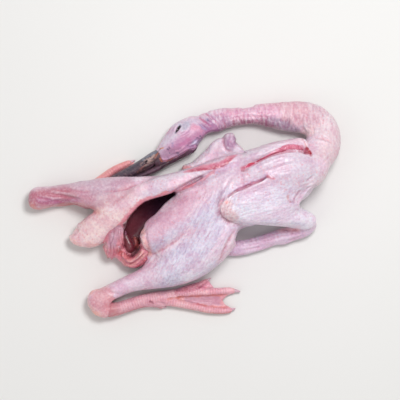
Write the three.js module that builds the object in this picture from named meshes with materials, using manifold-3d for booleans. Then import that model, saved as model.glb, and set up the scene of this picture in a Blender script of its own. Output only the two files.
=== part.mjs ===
// A whole raw duck, plucked and drawn, lying on its back with its head, neck, wings and feet on.
// Millimetres, +Z up. The bird is one solid: every limb is a swept form with oval sections,
// all limbs are joined, and the belly cut, the body cavity and the slits are cut out of them.
// The flesh lies flat on the surface at Z = 0.

import * as THREE from 'three';
import { mergeVertices } from 'three/addons/utils/BufferGeometryUtils.js';
import Module from 'manifold-3d';

// A station of a limb is [across, down, up, half width, half height].
// Across and down are measured in the plan, from the top left corner of a 400 mm square field,
// and up is measured from the surface. The origin of the part is this point of the plan.
const ORIGIN = { across: 185.12, down: 209.76 };

// Sections and rings of the swept limbs.
const FINE_SIDES = 20;
const PLAIN_SIDES = 14;
const SLIM_SIDES = 8;
const RING_STEP = 9;

// How square the sections of the flank and of the gash are: 2 is an oval.
const FLANK_FULLNESS = 2.7;
const GASH_FULLNESS = 3;

// Thickness of the webs between the toes, and the height of their undersides.
const WEB = { thick: 2.2, under: 1.6 };

// The body: the breast and belly, the flank on the far side of the cut, and the back below both.
const BREAST = [
  [324, 160, 28, 9, 14],
  [311, 166, 34, 21, 27],
  [290, 170, 38, 27.5, 34.5],
  [264, 179, 39, 30, 36.5],
  [236, 192, 38, 30, 35.5],
  [207, 208, 36, 29, 33],
  [182, 222, 34, 24, 29],
  [160, 233, 31, 18, 24],
  [147, 239, 29, 13.5, 19],
  [140, 242, 28, 7, 10],
];
const NEAR_FLANK = [
  [316, 176, 25, 9, 16],
  [300, 187, 26, 17, 24],
  [276, 197, 27, 21, 27],
  [252, 207, 27, 17.5, 27],
  [231, 221, 27, 15.5, 27],
  [214, 239, 24, 15.5, 24],
  [202, 250, 20, 10, 14],
];
const GROIN = [
  [246, 203, 34, 14, 22],
  [222, 217, 34, 20, 27],
  [197, 233, 32, 21, 26],
  [174, 246, 29, 15, 22],
  [157, 254, 25, 8, 14],
];
const FAR_FLANK = [
  [246, 158, 41, 8, 22],
  [222, 167, 44, 10, 25],
  [200, 175.5, 44, 10.5, 25],
  [178, 182.5, 42, 10.5, 24],
  [155, 189.5, 38, 12, 23],
  [137, 198, 34, 13.5, 21],
  [121, 210.5, 28, 15, 18.5],
  [106, 222.5, 22, 16, 15.5],
  [92, 232, 17, 15.5, 12.5],
  [80, 236, 14, 12, 9.5],
  [68, 238.5, 12.5, 4, 5],
];
const BACK = [
  [262, 188, 22, 20, 20],
  [232, 198, 20, 33, 21],
  [198, 212, 17, 36, 18],
  [165, 224, 14, 33, 15],
  [137, 238, 11, 25, 12],
  [119, 247, 9, 15, 10],
  [107, 251, 8, 6, 6],
];
const FAR_BREAST = [
  [308, 146, 40, 9, 14],
  [290, 149, 45, 9.5, 20],
  [270, 153, 47, 9.5, 24],
  [248, 160, 47, 8.5, 24],
  [228, 168, 45, 6, 16],
];

// The torn flesh and fat round the vent.
const VENT_LIPS = [
  [[124, 224, 32, 7, 10], [118, 236, 25, 10, 12], [112, 248, 16.5, 9.5, 10], [111, 258, 10, 4.5, 6]],
  [[110, 255, 9, 3, 5], [120, 257, 12, 7, 8], [130, 262, 11, 7, 8.5], [140, 264, 9, 4, 6]],
  [[127, 262, 13, 4, 6], [137, 259, 18, 5.5, 9], [145, 250.5, 26, 5.5, 10], [148, 240, 32, 5, 8]],
];

// The legs. The near one lies folded at the hock beside the body, the far one points away from it.
const NEAR_THIGH = [
  [238, 208, 36, 14, 20],
  [222, 224, 36, 24, 28],
  [205, 240, 33, 27.5, 29],
  [187, 256, 29, 26, 26],
  [169, 268.5, 23, 19.5, 21],
  [150, 277, 18.5, 12.8, 16],
  [132, 283, 15.5, 9, 12.5],
  [116, 290, 14.5, 8.2, 11.5],
  [103, 299, 14, 10.5, 12],
  [97, 307, 12.5, 10, 11],
];
const NEAR_SHANK = [
  [94, 302, 13.5, 8, 11],
  [101, 309, 11.5, 9.5, 10.5],
  [113, 310.3, 9.5, 7.2, 9],
  [126, 307, 8, 6.6, 7.5],
  [141, 302.3, 7, 6.8, 6.5],
  [155, 300, 6.8, 7.8, 6.4],
  [167, 299.5, 6.2, 8.8, 5.8],
  [178, 299.5, 5, 6, 4.5],
];
const FAR_LEG = [
  [29, 198.5, 12, 9.5, 10],
  [38, 198.3, 12.5, 11.8, 12],
  [51, 196.3, 13, 10.4, 11.5],
  [66, 193.2, 14.5, 9.4, 11.5],
  [84, 193.2, 20, 13.2, 15],
  [102, 194.5, 25, 16.8, 18],
  [122, 192.5, 29, 16.5, 19],
  [145, 189.5, 32, 13.5, 19],
  [172, 185, 34, 10, 17],
  [196, 182, 34, 7, 13],
];
const FAR_SHANK = [
  [33, 199, 9, 8, 8],
  [50, 200, 8, 7, 7.5],
  [70, 199, 6.5, 6.5, 6.3],
  [86, 192, 6, 8, 5.8],
  [97, 184, 5, 7, 4.8],
];

// Toes of both feet, with the claw at the last station.
const NEAR_TOES = [
  [[163, 297, 6, 5, 5.5], [180, 294, 5.6, 5, 5], [200, 292.6, 5.4, 4.3, 4.6],
    [218, 291.8, 5, 3.6, 4], [232, 291.2, 4.2, 3, 3.2], [241, 292.3, 2.6, 1, 1.4]],
  [[163, 302, 6, 5, 5.5], [180, 304, 5.6, 4.5, 4.8], [198, 307.6, 5.2, 4, 4.4],
    [214, 311.2, 4.8, 3.4, 3.8], [227, 311.6, 4, 2.8, 3], [235.5, 309.3, 2.6, 1, 1.4]],
  [[166, 296, 5.5, 5, 4.8], [184, 290.5, 5.4, 3.8, 4.5], [197, 286, 5.4, 3.2, 4.2],
    [206, 281.6, 5, 2.2, 3.2], [211.3, 278.6, 4.4, 0.8, 1.2]],
];
const NEAR_HIND_TOE = [[156, 304, 6, 4, 4], [161, 306.5, 4.6, 3, 3.2], [166.5, 308.6, 3.2, 1.2, 1.6]];
const FAR_TOES = [
  [[90, 190, 5, 6, 4.6], [100, 180, 4.8, 5, 4.4], [112, 170.5, 4.6, 4, 4],
    [124, 164.5, 4.2, 3.2, 3.4], [133.5, 160, 3.2, 1.2, 1.4]],
  [[88, 194, 5, 5, 4.6], [106, 187, 4.8, 4.4, 4.2], [124, 178, 4.4, 3.6, 3.8],
    [140, 172, 3.8, 2.6, 2.8], [148, 169.5, 2.6, 1, 1.2]],
];
const FAR_HIND_TOE = [[70, 200, 6.6, 3, 3.4], [80, 204, 5.8, 3.6, 3.6], [87, 207, 4.8, 3, 3], [92, 208, 3.6, 1, 1.2]];

// Webs, as outlines in the plan.
const WEBS = [
  [[168, 300], [182, 296], [205, 293.4], [226, 292.6], [234.5, 294], [226.5, 297], [222.3, 301],
    [225, 305.2], [231.5, 308.3], [222, 311.6], [205, 308.6], [186, 303.6]],
  [[168, 297], [184, 290], [198, 284.8], [208.4, 280.4], [210.6, 283.6], [215.5, 289.4], [204, 292.4], [184, 294.6]],
  [[90, 190], [100, 179], [112, 169.8], [124, 164], [131.5, 161.8], [134.4, 163.4], [138, 170], [146, 170.6],
    [134, 176], [118, 183], [104, 189]],
];

// The neck, bent round the shoulder, and the head, which lies on its side with the bill under the far leg.
const NECK = [
  [299, 172, 34, 17, 22],
  [311, 161, 31, 17.5, 22],
  [321, 149, 26.5, 18.6, 20],
  [324.5, 135.5, 21.5, 17, 17.5],
  [317, 122.5, 18, 16.8, 15.5],
  [303, 117, 15.8, 16.3, 14],
  [286, 116.3, 14, 15, 12.8],
  [270, 114.8, 12.8, 12.6, 11.8],
  [254, 114, 12, 9.8, 10.8],
  [239, 116, 11.8, 9, 10.5],
  [225, 119, 12, 9.6, 10.8],
  [211, 123.5, 12.8, 11, 11.8],
  [199, 129, 13.8, 14, 13],
];
const HEAD = [
  [207, 124.5, 13, 9.5, 11],
  [197, 130.5, 14, 14.6, 13],
  [184, 139, 15, 16.6, 14.2],
  [172.5, 148, 14, 14.2, 13],
  [163.5, 156.5, 12.2, 10.6, 11],
  [155, 161.5, 11, 9.2, 9.6],
  [148, 165, 10.2, 7, 7.6],
];
const BILL = [
  [161, 158.6, 11.5, 8.8, 9.6],
  [149, 165.6, 10.4, 9, 8.8],
  [137, 171.6, 9.6, 8.6, 7.8],
  [125, 177, 9, 8, 7.2],
  [115, 181.2, 8.4, 6.6, 6.4],
  [107.5, 184, 8, 3, 3.4],
];

// The wings. The near one is folded in a Z: shoulder, elbow on the belly, wrist, tip under the thigh.
const NEAR_UPPER_ARM = [
  [317, 177, 34, 10, 16],
  [304, 183, 42, 14, 18],
  [284, 188, 51, 15, 17],
  [262, 195, 59, 13.5, 14.5],
  [243, 202.5, 63.5, 11.5, 12.5],
  [231, 208.5, 64, 9.6, 11],
  [221.5, 210.5, 63, 5.5, 7.5],
];
const NEAR_FOREARM = [
  [222.5, 210, 62, 6, 8],
  [232, 210.8, 61.5, 9, 11.5],
  [246, 212, 57, 11.2, 13],
  [262, 213.5, 50, 11.6, 15],
  [278, 215.2, 40, 11, 16.5],
  [293, 217, 29, 10.8, 15.5],
  [306, 220.5, 18, 9.8, 12],
  [315.6, 221.5, 12, 5.5, 7.5],
];
const NEAR_WING_SKIN = [
  [306, 193, 33, 8, 13],
  [294, 198.5, 39, 12.5, 16],
  [275, 202, 50, 14, 17],
  [253, 205.5, 58.5, 11.5, 14.5],
  [234, 207, 62, 8, 11],
];
const NEAR_HAND = [
  [313, 218, 12, 7, 8],
  [308, 227, 10, 8, 8],
  [297, 232.5, 8.8, 7.8, 7.5],
  [280, 236.5, 8, 7.4, 7],
  [262, 243, 7.4, 7.3, 6.4],
  [244, 247.8, 6.8, 7.8, 6],
  [230, 250.3, 6.4, 6.6, 5.4],
  [222, 251, 6, 3.6, 4],
];
const NEAR_THUMB = [[300, 234, 9, 4, 5], [288, 240.6, 8, 3.4, 4], [278.6, 245, 6.6, 1.6, 2.4]];
const FAR_WING = [
  [248, 162, 26, 9, 18],
  [239, 152.5, 24, 9.5, 17],
  [229, 148, 22, 12.6, 15.5],
  [216, 154, 19, 12, 13.5],
  [203, 161, 15.5, 9.2, 11],
  [191, 166.5, 12, 5.6, 8],
  [180.5, 169.5, 9, 3, 5],
];
const FAR_WING_KNOB = [[226, 150, 26, 6, 8], [231, 144.5, 25, 9, 11], [232.5, 139, 23, 5, 7]];

// What is cut away. The gash is open from above, the cavity spreads below its lips,
// and the slits run on from it up the breast.
const GASH = [
  [183, 191, 60, 1.2, 14],
  [175, 195, 58, 2.4, 18],
  [167, 199, 55, 4, 22],
  [155, 205, 50, 6.6, 26],
  [147.6, 210.5, 46, 8.6, 28],
  [140, 217.5, 41, 8.9, 27],
  [134.5, 226, 36, 8.9, 26],
  [132.3, 236, 32, 8.1, 22],
  [132.3, 247, 27, 6.8, 16],
  [132, 256, 23, 2.5, 6],
];
const CAVITY = [
  [212, 200, 34, 9, 12],
  [192, 204, 32, 15, 18],
  [170, 212, 29, 17, 19],
  [151, 221, 25, 15, 17],
  [136, 234, 21, 10, 13],
  [130, 247, 17, 6, 9],
];
const SLITS = [
  [[216, 170.5, 66, 1.2, 7], [200, 178, 66, 1.8, 10], [183, 187, 62, 2.2, 12], [172, 194, 58, 2, 12]],
  [[305, 152, 54, 3.4, 8], [296, 149, 62, 3.6, 8], [278, 153.5, 70, 2.8, 8], [260, 159.5, 72, 2.4, 8],
    [243, 167, 70, 3, 9], [234, 172, 67, 1.4, 6]],
  [[270, 175.5, 76, 1.2, 5], [254, 183, 72, 2.4, 9], [240, 191, 68, 2.6, 10], [229, 199.5, 66, 1.6, 8]],
];

const SKIN = new THREE.MeshStandardMaterial({ color: 0xe9cdd0, roughness: 0.42, metalness: 0 });

const wasm = await Module();
wasm.setup();

// A point of the plan at a height, in the frame of the part.
function place(across, down, up) {
  return new THREE.Vector3(across - ORIGIN.across, ORIGIN.down - down, up);
}

// The share of its full section that a limb has at a distance from its end, where the end is round.
function roundEnd(distance, reach) {
  const short = Math.max(0, 1 - distance / reach);
  return Math.sqrt(1 - short * short);
}

// A power of a sine or cosine that keeps its sign. With a fullness over 2 a section is squarer than an oval.
function full(value, fullness) {
  return Math.sign(value) * Math.abs(value) ** (2 / fullness);
}

// A sphere drawn out along the stations into a closed limb with oval sections and round ends.
function limb(stations, sides = PLAIN_SIDES, fullness = 2) {
  const spine = new THREE.CatmullRomCurve3(stations.map(([a, d, up]) => place(a, d, up)));
  const girth = new THREE.CatmullRomCurve3(stations.map(([, , , w, h]) => new THREE.Vector3(w, h, 0)));
  const length = spine.getLength();
  const rings = Math.max(6, Math.round(length / RING_STEP) + 3);
  const geometry = new THREE.SphereGeometry(1, sides, rings);
  geometry.deleteAttribute('normal');
  geometry.deleteAttribute('uv');

  const firstReach = Math.min(stations[0][3], stations[0][4]);
  const lastReach = Math.min(stations.at(-1)[3], stations.at(-1)[4]);
  const zUp = new THREE.Vector3(0, 0, 1);
  const position = geometry.getAttribute('position');
  const point = new THREE.Vector3();
  for (let i = 0; i < position.count; i += 1) {
    point.fromBufferAttribute(position, i);
    const polar = Math.acos(THREE.MathUtils.clamp(point.y, -1, 1));
    const even = polar / Math.PI;
    const crowded = (1 - point.y) / 2;
    const t = THREE.MathUtils.lerp(even, crowded, 0.35);
    const around = Math.atan2(point.z, point.x);
    const size = girth.getPoint(t);
    const share = Math.min(roundEnd(t * length, firstReach), roundEnd((1 - t) * length, lastReach));
    const along = spine.getTangent(t);
    const aside = new THREE.Vector3().crossVectors(zUp, along).normalize();
    const upward = new THREE.Vector3().crossVectors(along, aside);
    const centre = spine.getPoint(t);
    centre.addScaledVector(aside, size.x * share * full(Math.cos(around), fullness));
    centre.addScaledVector(upward, size.y * share * full(Math.sin(around), fullness));
    position.setXYZ(i, centre.x, centre.y, centre.z);
  }
  return solid(geometry);
}

// A flat web of skin with the given outline.
function web(outline) {
  const shape = new THREE.Shape();
  const points = outline.map(([a, d]) => new THREE.Vector2(a - ORIGIN.across, ORIGIN.down - d));
  shape.setFromPoints(points);
  const geometry = new THREE.ExtrudeGeometry(shape, { depth: WEB.thick, bevelEnabled: false });
  geometry.translate(0, 0, WEB.under);
  return solid(geometry);
}

// A closed geometry as a solid that can be joined and cut.
function solid(geometry) {
  const bare = new THREE.BufferGeometry();
  bare.setAttribute('position', geometry.getAttribute('position'));
  if (geometry.index) bare.setIndex(geometry.index);
  const merged = mergeVertices(bare, 1e-4);
  return new wasm.Manifold(new wasm.Mesh({
    numProp: 3,
    vertProperties: merged.getAttribute('position').array,
    triVerts: new Uint32Array(merged.index.array),
  }));
}

function joined(solids) {
  return solids.reduce((all, next) => all.add(next));
}

// A box that holds all that lies under the surface.
function underground() {
  const box = new THREE.BoxGeometry(600, 600, 100);
  box.translate(0, 0, -50);
  return solid(box);
}

function bird() {
  const fine = [BREAST, NEAR_FLANK, GROIN, BACK, NEAR_THIGH].map((stations) => limb(stations, FINE_SIDES));
  fine.push(limb(FAR_FLANK, FINE_SIDES, FLANK_FULLNESS));
  const plain = [
    FAR_BREAST, FAR_LEG, NECK, HEAD, BILL, NEAR_UPPER_ARM, NEAR_FOREARM, NEAR_WING_SKIN, NEAR_HAND,
    FAR_WING, FAR_WING_KNOB, NEAR_SHANK, FAR_SHANK,
  ].map((stations) => limb(stations));
  const slim = [
    ...VENT_LIPS, ...NEAR_TOES, NEAR_HIND_TOE, ...FAR_TOES, FAR_HIND_TOE, NEAR_THUMB,
  ].map((stations) => limb(stations, SLIM_SIDES));
  const cuts = [limb(GASH, PLAIN_SIDES, GASH_FULLNESS), limb(CAVITY), ...SLITS.map((stations) => limb(stations, SLIM_SIDES))];
  return joined([...fine, ...plain, ...slim, ...WEBS.map(web)])
    .subtract(joined(cuts))
    .subtract(underground());
}

// The joined solid as a geometry with flat faces.
function geometryOf(body) {
  const mesh = body.getMesh();
  const geometry = new THREE.BufferGeometry();
  geometry.setAttribute('position', new THREE.BufferAttribute(mesh.vertProperties, 3));
  geometry.setIndex(new THREE.BufferAttribute(mesh.triVerts, 1));
  geometry.computeVertexNormals();
  return geometry;
}

const duck = new THREE.Mesh(geometryOf(bird()), SKIN);
duck.name = 'duck';

const part = new THREE.Group();
part.add(duck);

export default part;
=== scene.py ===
"""A whole raw duck as it lies on a table: skin, head, bill, webbed feet and the flesh in the belly cut."""

import math

import bpy
import numpy as np
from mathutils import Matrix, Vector


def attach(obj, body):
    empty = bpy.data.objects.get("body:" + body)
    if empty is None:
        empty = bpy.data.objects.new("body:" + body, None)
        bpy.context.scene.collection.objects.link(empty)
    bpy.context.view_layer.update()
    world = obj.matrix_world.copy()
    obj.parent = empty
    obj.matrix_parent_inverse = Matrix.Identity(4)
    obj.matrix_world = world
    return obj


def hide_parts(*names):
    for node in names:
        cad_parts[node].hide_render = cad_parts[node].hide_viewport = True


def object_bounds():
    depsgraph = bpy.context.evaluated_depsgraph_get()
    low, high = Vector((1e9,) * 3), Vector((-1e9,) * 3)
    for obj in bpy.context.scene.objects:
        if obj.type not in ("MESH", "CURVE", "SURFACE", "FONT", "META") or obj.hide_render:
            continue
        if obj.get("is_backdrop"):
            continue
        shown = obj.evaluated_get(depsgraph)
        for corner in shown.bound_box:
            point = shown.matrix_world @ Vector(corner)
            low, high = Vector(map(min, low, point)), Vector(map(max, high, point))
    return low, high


# The solid bird
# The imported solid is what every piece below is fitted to. The real bird is one soft body of skin,
# flesh and bone, so all the pieces ride on it together and stand for parts of its outside.
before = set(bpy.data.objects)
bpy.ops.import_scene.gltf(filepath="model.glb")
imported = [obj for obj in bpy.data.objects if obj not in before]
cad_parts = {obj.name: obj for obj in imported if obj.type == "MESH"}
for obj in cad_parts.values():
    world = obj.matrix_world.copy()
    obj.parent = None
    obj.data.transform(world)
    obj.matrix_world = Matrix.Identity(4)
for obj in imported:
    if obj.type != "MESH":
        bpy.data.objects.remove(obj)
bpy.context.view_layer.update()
solid_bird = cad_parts["duck"]
MM = 0.001
PLAN_ORIGIN = (185.12, 209.76)  # the frame's origin in the plan, mm across and mm down


def spot(across, down, up=0.0):
    """A place given in mm across and down the 400 mm wide plan and mm up, as metres in the frame."""
    return Vector(((across - PLAN_ORIGIN[0]) * MM, (PLAN_ORIGIN[1] - down) * MM, up * MM))


def tone(red, green, blue):
    """A colour as the eye reads it, 0 to 255, turned into the linear light that materials use."""
    share = np.array((red, green, blue)) / 255
    return np.where(share < 0.04045, share / 12.92, ((share + 0.055) / 1.055) ** 2.4)


def only(obj):
    """Leaves one object selected and active, as most operators need."""
    bpy.ops.object.select_all(action="DESELECT")
    obj.select_set(True)
    bpy.context.view_layer.objects.active = obj
    return obj


# The table top and the light
# A plain pale table under soft studio lamps, looked at from straight above through a long lens.
# The main lamp hangs beyond the bird and to its right, so what faces the lower left is shaded.
FLOOR_SIZE = 6.0
FLOOR_LEVEL = -0.2  # mm, a hair under the bird
FLOOR_WHITE = (232, 231, 229)
FLOOR_SHADE = (226, 225, 223)
VIEW_WIDTH = 0.4  # metres across the view
VIEW_CENTRE = spot(200, 200, 25)
LENS = 250
SENSOR = 36
# Each lamp's name, size, place in metres and power
LAMPS = (
    ("main_lamp", 0.4, (0.28, 0.4, 1.2), 10.0),
    ("side_lamp", 1.2, (-0.8, -0.6, 1.0), 2.0),
)
AIR_LIGHT = 0.52


class Nodes:
    """A node tree that is built up node by node."""

    def __init__(self, tree):
        self.tree = tree

    def node(self, kind, inputs=(), **settings):
        """Adds a node with its settings. Each input is given a value or another node's output."""
        made = self.tree.nodes.new(kind)
        for name, value in settings.items():
            setattr(made, name, value)
        for socket, value in dict(inputs).items():
            if isinstance(value, bpy.types.NodeSocket):
                self.tree.links.new(value, made.inputs[socket])
            else:
                made.inputs[socket].default_value = value
        return made

    def place(self, scale=(1, 1, 1), turn=0.0):
        """The place on the bird, which can be stretched and turned in the plan, in degrees."""
        where = self.node("ShaderNodeTexCoord").outputs["Object"]
        if turn:
            turned = self.node("ShaderNodeVectorRotate", {"Vector": where, "Angle": math.radians(turn)})
            where = turned.outputs["Vector"]
        if scale != (1, 1, 1):
            where = self.node("ShaderNodeVectorMath", {0: where, 1: scale}, operation="MULTIPLY").outputs[0]
        return where

    def mask(self, name):
        """A value painted on the piece's points."""
        return self.node("ShaderNodeAttribute", attribute_name=name).outputs["Fac"]

    def tint(self):
        """The colour painted on the piece's points."""
        return self.node("ShaderNodeAttribute", attribute_name="tint").outputs["Color"]

    def noise(self, scale, detail=3.0, distortion=0.0, where=None):
        """Soft random blotches, about 1 / scale metres wide."""
        values = {"Vector": where or self.place(), "Scale": scale}
        values.update({"Detail": detail, "Distortion": distortion})
        return self.node("ShaderNodeTexNoise", values).outputs["Fac"]

    def cells(self, scale, feature="F1"):
        """The distance from the middles, or from the edges, of random cells about 1 / scale metres wide."""
        values = {"Vector": self.place(), "Scale": scale, "Randomness": 0.9}
        return self.node("ShaderNodeTexVoronoi", values, feature=feature).outputs["Distance"]

    def between(self, value, low, high, bottom=0.0, top=1.0):
        """The value's rise from low to high, as a share from bottom to top."""
        values = {"Value": value, "From Min": low, "From Max": high, "To Min": bottom, "To Max": top}
        return self.node("ShaderNodeMapRange", values, interpolation_type="SMOOTHSTEP").outputs["Result"]

    def maths(self, operation, first, second):
        return self.node("ShaderNodeMath", {0: first, 1: second}, operation=operation).outputs[0]

    def times(self, first, second):
        return self.maths("MULTIPLY", first, second)

    def plus(self, first, second):
        return self.maths("ADD", first, second)

    def minus(self, first, second):
        return self.maths("SUBTRACT", first, second)

    def mix(self, share, first, second, blend="MIX"):
        """One colour laid over another by a share. Either is an output or a colour from 0 to 255."""
        colours = [c if isinstance(c, bpy.types.NodeSocket) else (*tone(*c), 1.0) for c in (first, second)]
        values = {0: share, 6: colours[0], 7: colours[1]}
        return self.node("ShaderNodeMix", values, data_type="RGBA", blend_type=blend).outputs[2]


class Paint(Nodes):
    """A material with its surface shader."""

    def __init__(self, name, roughness):
        self.material = bpy.data.materials.new(name)
        self.material.use_nodes = True
        super().__init__(self.material.node_tree)
        self.shader = self.tree.nodes["Principled BSDF"]
        self.shader.inputs["Roughness"].default_value = roughness

    def feed(self, socket, value):
        """Links an output to a socket of the surface shader."""
        self.tree.links.new(value, self.shader.inputs[socket])

    def relief(self, height, depth, strength):
        """Bumps of a depth in mm, on the surface's normal."""
        bump = self.node("ShaderNodeBump", {"Height": height, "Distance": depth * MM, "Strength": strength})
        self.feed("Normal", bump.outputs["Normal"])

    def soft(self, weight, scale, coat, coat_roughness=0.25):
        """Light that sinks in by scale mm, as it does in flesh, and a moist film over it."""
        self.shader.inputs["Subsurface Weight"].default_value = weight
        self.shader.inputs["Subsurface Radius"].default_value = (1.0, 0.4, 0.3)
        self.shader.inputs["Subsurface Scale"].default_value = scale * MM
        self.shader.inputs["Coat Weight"].default_value = coat
        self.shader.inputs["Coat Roughness"].default_value = coat_roughness


bpy.ops.object.select_all(action="DESELECT")
bpy.ops.mesh.primitive_plane_add(size=FLOOR_SIZE, location=(0, 0, FLOOR_LEVEL * MM))
table_top = bpy.context.active_object
table_top.name = "table_top"
pale_table = Paint("pale_table", 0.8)
pale_table.feed("Base Color", pale_table.mix(pale_table.noise(3.0), FLOOR_WHITE, FLOOR_SHADE))
table_top.data.materials.append(pale_table.material)
table_top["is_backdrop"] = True

bpy.ops.object.camera_add(location=VIEW_CENTRE + Vector((0, 0, VIEW_WIDTH * LENS / SENSOR)))
camera = bpy.context.active_object
camera.data.lens = LENS
camera.data.sensor_width = SENSOR
camera.data.clip_end = 50
bpy.context.scene.camera = camera

for name, size, place, power in LAMPS:
    bpy.ops.object.light_add(type="AREA", location=place)
    lamp = bpy.context.active_object
    lamp.name = name
    lamp.data.shape = "DISK"
    lamp.data.size = size
    lamp.data.energy = power
    lamp.rotation_euler = (-Vector(place)).to_track_quat("-Z", "Y").to_euler()

studio_air = bpy.data.worlds.new("studio_air")
bpy.context.scene.world = studio_air
studio_air.use_nodes = True
studio_air.node_tree.nodes["Background"].inputs["Color"].default_value = (1, 1, 1, 1)
studio_air.node_tree.nodes["Background"].inputs["Strength"].default_value = AIR_LIGHT
bpy.context.scene.view_settings.view_transform = "Standard"


# The skin
# Plucked skin over flesh, in one piece from the nape to the hocks and the wing tips. It is the solid
# bird's own form, evened out to a fine net, softened where limbs join, then worked with folds.
SKIN_NET = 0.85  # mm, the width of its squares
SKIN_FACES = 196000  # triangles that are kept when it is thinned
FACET = 3.6  # mm, the width of the solid bird's facets
UNDER = -5  # mm, a level below the whole bird
OVER = 60  # mm, a level above the neck, the legs and the vent
EVERY_HEIGHT = (UNDER, 90)
RELAX = 0.7  # the share of the way that a point goes to the middle of its neighbours
WAVER = 0.45  # mm, how far the edges of painted colours stray


def copy_of_bird(name):
    """A copy of the solid bird with its loose triangles joined, as an object of its own."""
    made = bpy.data.objects.new(name, solid_bird.data.copy())
    bpy.context.scene.collection.objects.link(made)
    only(made)
    made.data.materials.clear()
    bpy.ops.object.mode_set(mode="EDIT")
    bpy.ops.mesh.select_all(action="SELECT")
    bpy.ops.mesh.remove_doubles(threshold=0.01 * MM)
    bpy.ops.object.mode_set(mode="OBJECT")
    return made


def slab(outline, low=UNDER, high=OVER):
    """A block with an outline in the plan, from a low to a high level in mm."""
    bpy.ops.object.select_all(action="DESELECT")
    bpy.ops.mesh.primitive_circle_add(vertices=len(outline), fill_type="NGON")
    block = bpy.context.active_object
    for corner, place in zip(block.data.vertices, outline):
        corner.co = spot(*place, low)
    bpy.ops.object.mode_set(mode="EDIT")
    bpy.ops.mesh.select_all(action="SELECT")
    bpy.ops.mesh.extrude_region_move(TRANSFORM_OT_translate={"value": (0, 0, (high - low) * MM)})
    bpy.ops.mesh.select_all(action="SELECT")
    bpy.ops.mesh.normals_make_consistent(inside=False)
    bpy.ops.object.mode_set(mode="OBJECT")
    return block


def cut(piece, block, operation="DIFFERENCE"):
    """Takes a block away from the piece, or all but that block."""
    knife = piece.modifiers.new("knife", "BOOLEAN")
    knife.operation = operation
    knife.object = block
    knife.solver = "EXACT"
    only(piece)
    bpy.ops.object.modifier_apply(modifier=knife.name)
    bpy.data.objects.remove(block)


def curve(line, steps=5):
    """A smooth line through the given places, with more places in between."""
    line = np.array(line, float)
    if len(line) < 3:
        return line
    ends = np.vstack((2 * line[0] - line[1], line, 2 * line[-1] - line[-2]))
    share = np.arange(steps)[:, None] / steps
    made = []
    for a, b, c, d in zip(ends, ends[1:], ends[2:], ends[3:]):
        slope, sag, twist = c - a, 2 * a - 5 * b + 4 * c - d, 3 * b - a - 3 * c + d
        made.append(b + 0.5 * (slope * share + sag * share**2 + twist * share**3))
    return np.vstack((*made, line[-1:]))


def limb(stations, sides=24, pitch=1.5, fullness=2.0):
    """A sphere drawn out along stations of across, down, up, half width and half height, in mm."""
    path = curve(stations, 10)
    centre = np.stack((path[:, 0] - PLAN_ORIGIN[0], PLAN_ORIGIN[1] - path[:, 1], path[:, 2]), 1)
    passed = np.concatenate(((0,), np.cumsum(np.linalg.norm(np.diff(centre, axis=0), axis=1))))
    length = passed[-1]
    bpy.ops.object.select_all(action="DESELECT")
    bpy.ops.mesh.primitive_uv_sphere_add(segments=sides, ring_count=max(8, int(length / pitch)))
    made = bpy.context.active_object
    ball = np.array([corner.co for corner in made.data.vertices])
    polar = np.arccos((-ball[:, 2]).clip(-1, 1))
    along = length * (0.5 * polar / np.pi + 0.25 * (1 + ball[:, 2]))
    around = np.arctan2(ball[:, 1], ball[:, 0])
    here = np.stack([np.interp(along, passed, column) for column in centre.T], 1)
    ahead = np.gradient(centre, passed, axis=0)
    ahead = np.stack([np.interp(along, passed, column) for column in ahead.T], 1)
    ahead /= np.linalg.norm(ahead, axis=1)[:, None]
    aside = np.cross((0, 0, 1), ahead)
    aside /= np.linalg.norm(aside, axis=1)[:, None]
    upward = np.cross(ahead, aside)
    wide, high = np.interp(along, passed, path[:, 3]), np.interp(along, passed, path[:, 4])
    first, last = min(path[0, 3:]), min(path[-1, 3:])
    first_cap = 1 - (1 - along / first).clip(0) ** 2
    last_cap = 1 - (1 - (length - along) / last).clip(0) ** 2
    share = np.minimum(first_cap, last_cap) ** 0.5
    across = np.sign(np.cos(around)) * np.abs(np.cos(around)) ** (2 / fullness) * wide * share
    above = np.sign(np.sin(around)) * np.abs(np.sin(around)) ** (2 / fullness) * high * share
    placed = (here + across[:, None] * aside + above[:, None] * upward) * MM
    made.data.vertices.foreach_set("co", placed.ravel())
    return made


def joined(name, parts):
    """Several objects as one piece."""
    bpy.ops.object.select_all(action="DESELECT")
    for part in parts:
        part.select_set(True)
    bpy.context.view_layer.objects.active = parts[0]
    if len(parts) > 1:
        bpy.ops.object.join()
    parts[0].name = name
    return parts[0]


def even_out(piece, net):
    """Replaces the piece's mesh by an even net of small squares, net mm wide."""
    only(piece)
    remesh = piece.modifiers.new("even", "REMESH")
    remesh.mode = "VOXEL"
    remesh.voxel_size = net * MM
    bpy.ops.object.modifier_apply(modifier=remesh.name)
    bpy.ops.object.shade_smooth()
    return piece


def ease(value):
    """A rise from 0 to 1 without corners."""
    value = np.clip(value, 0, 1)
    return value * value * (3 - 2 * value)


def each(action, rows):
    """Does the same with each row of a table."""
    for row in rows:
        action(*row)


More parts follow.
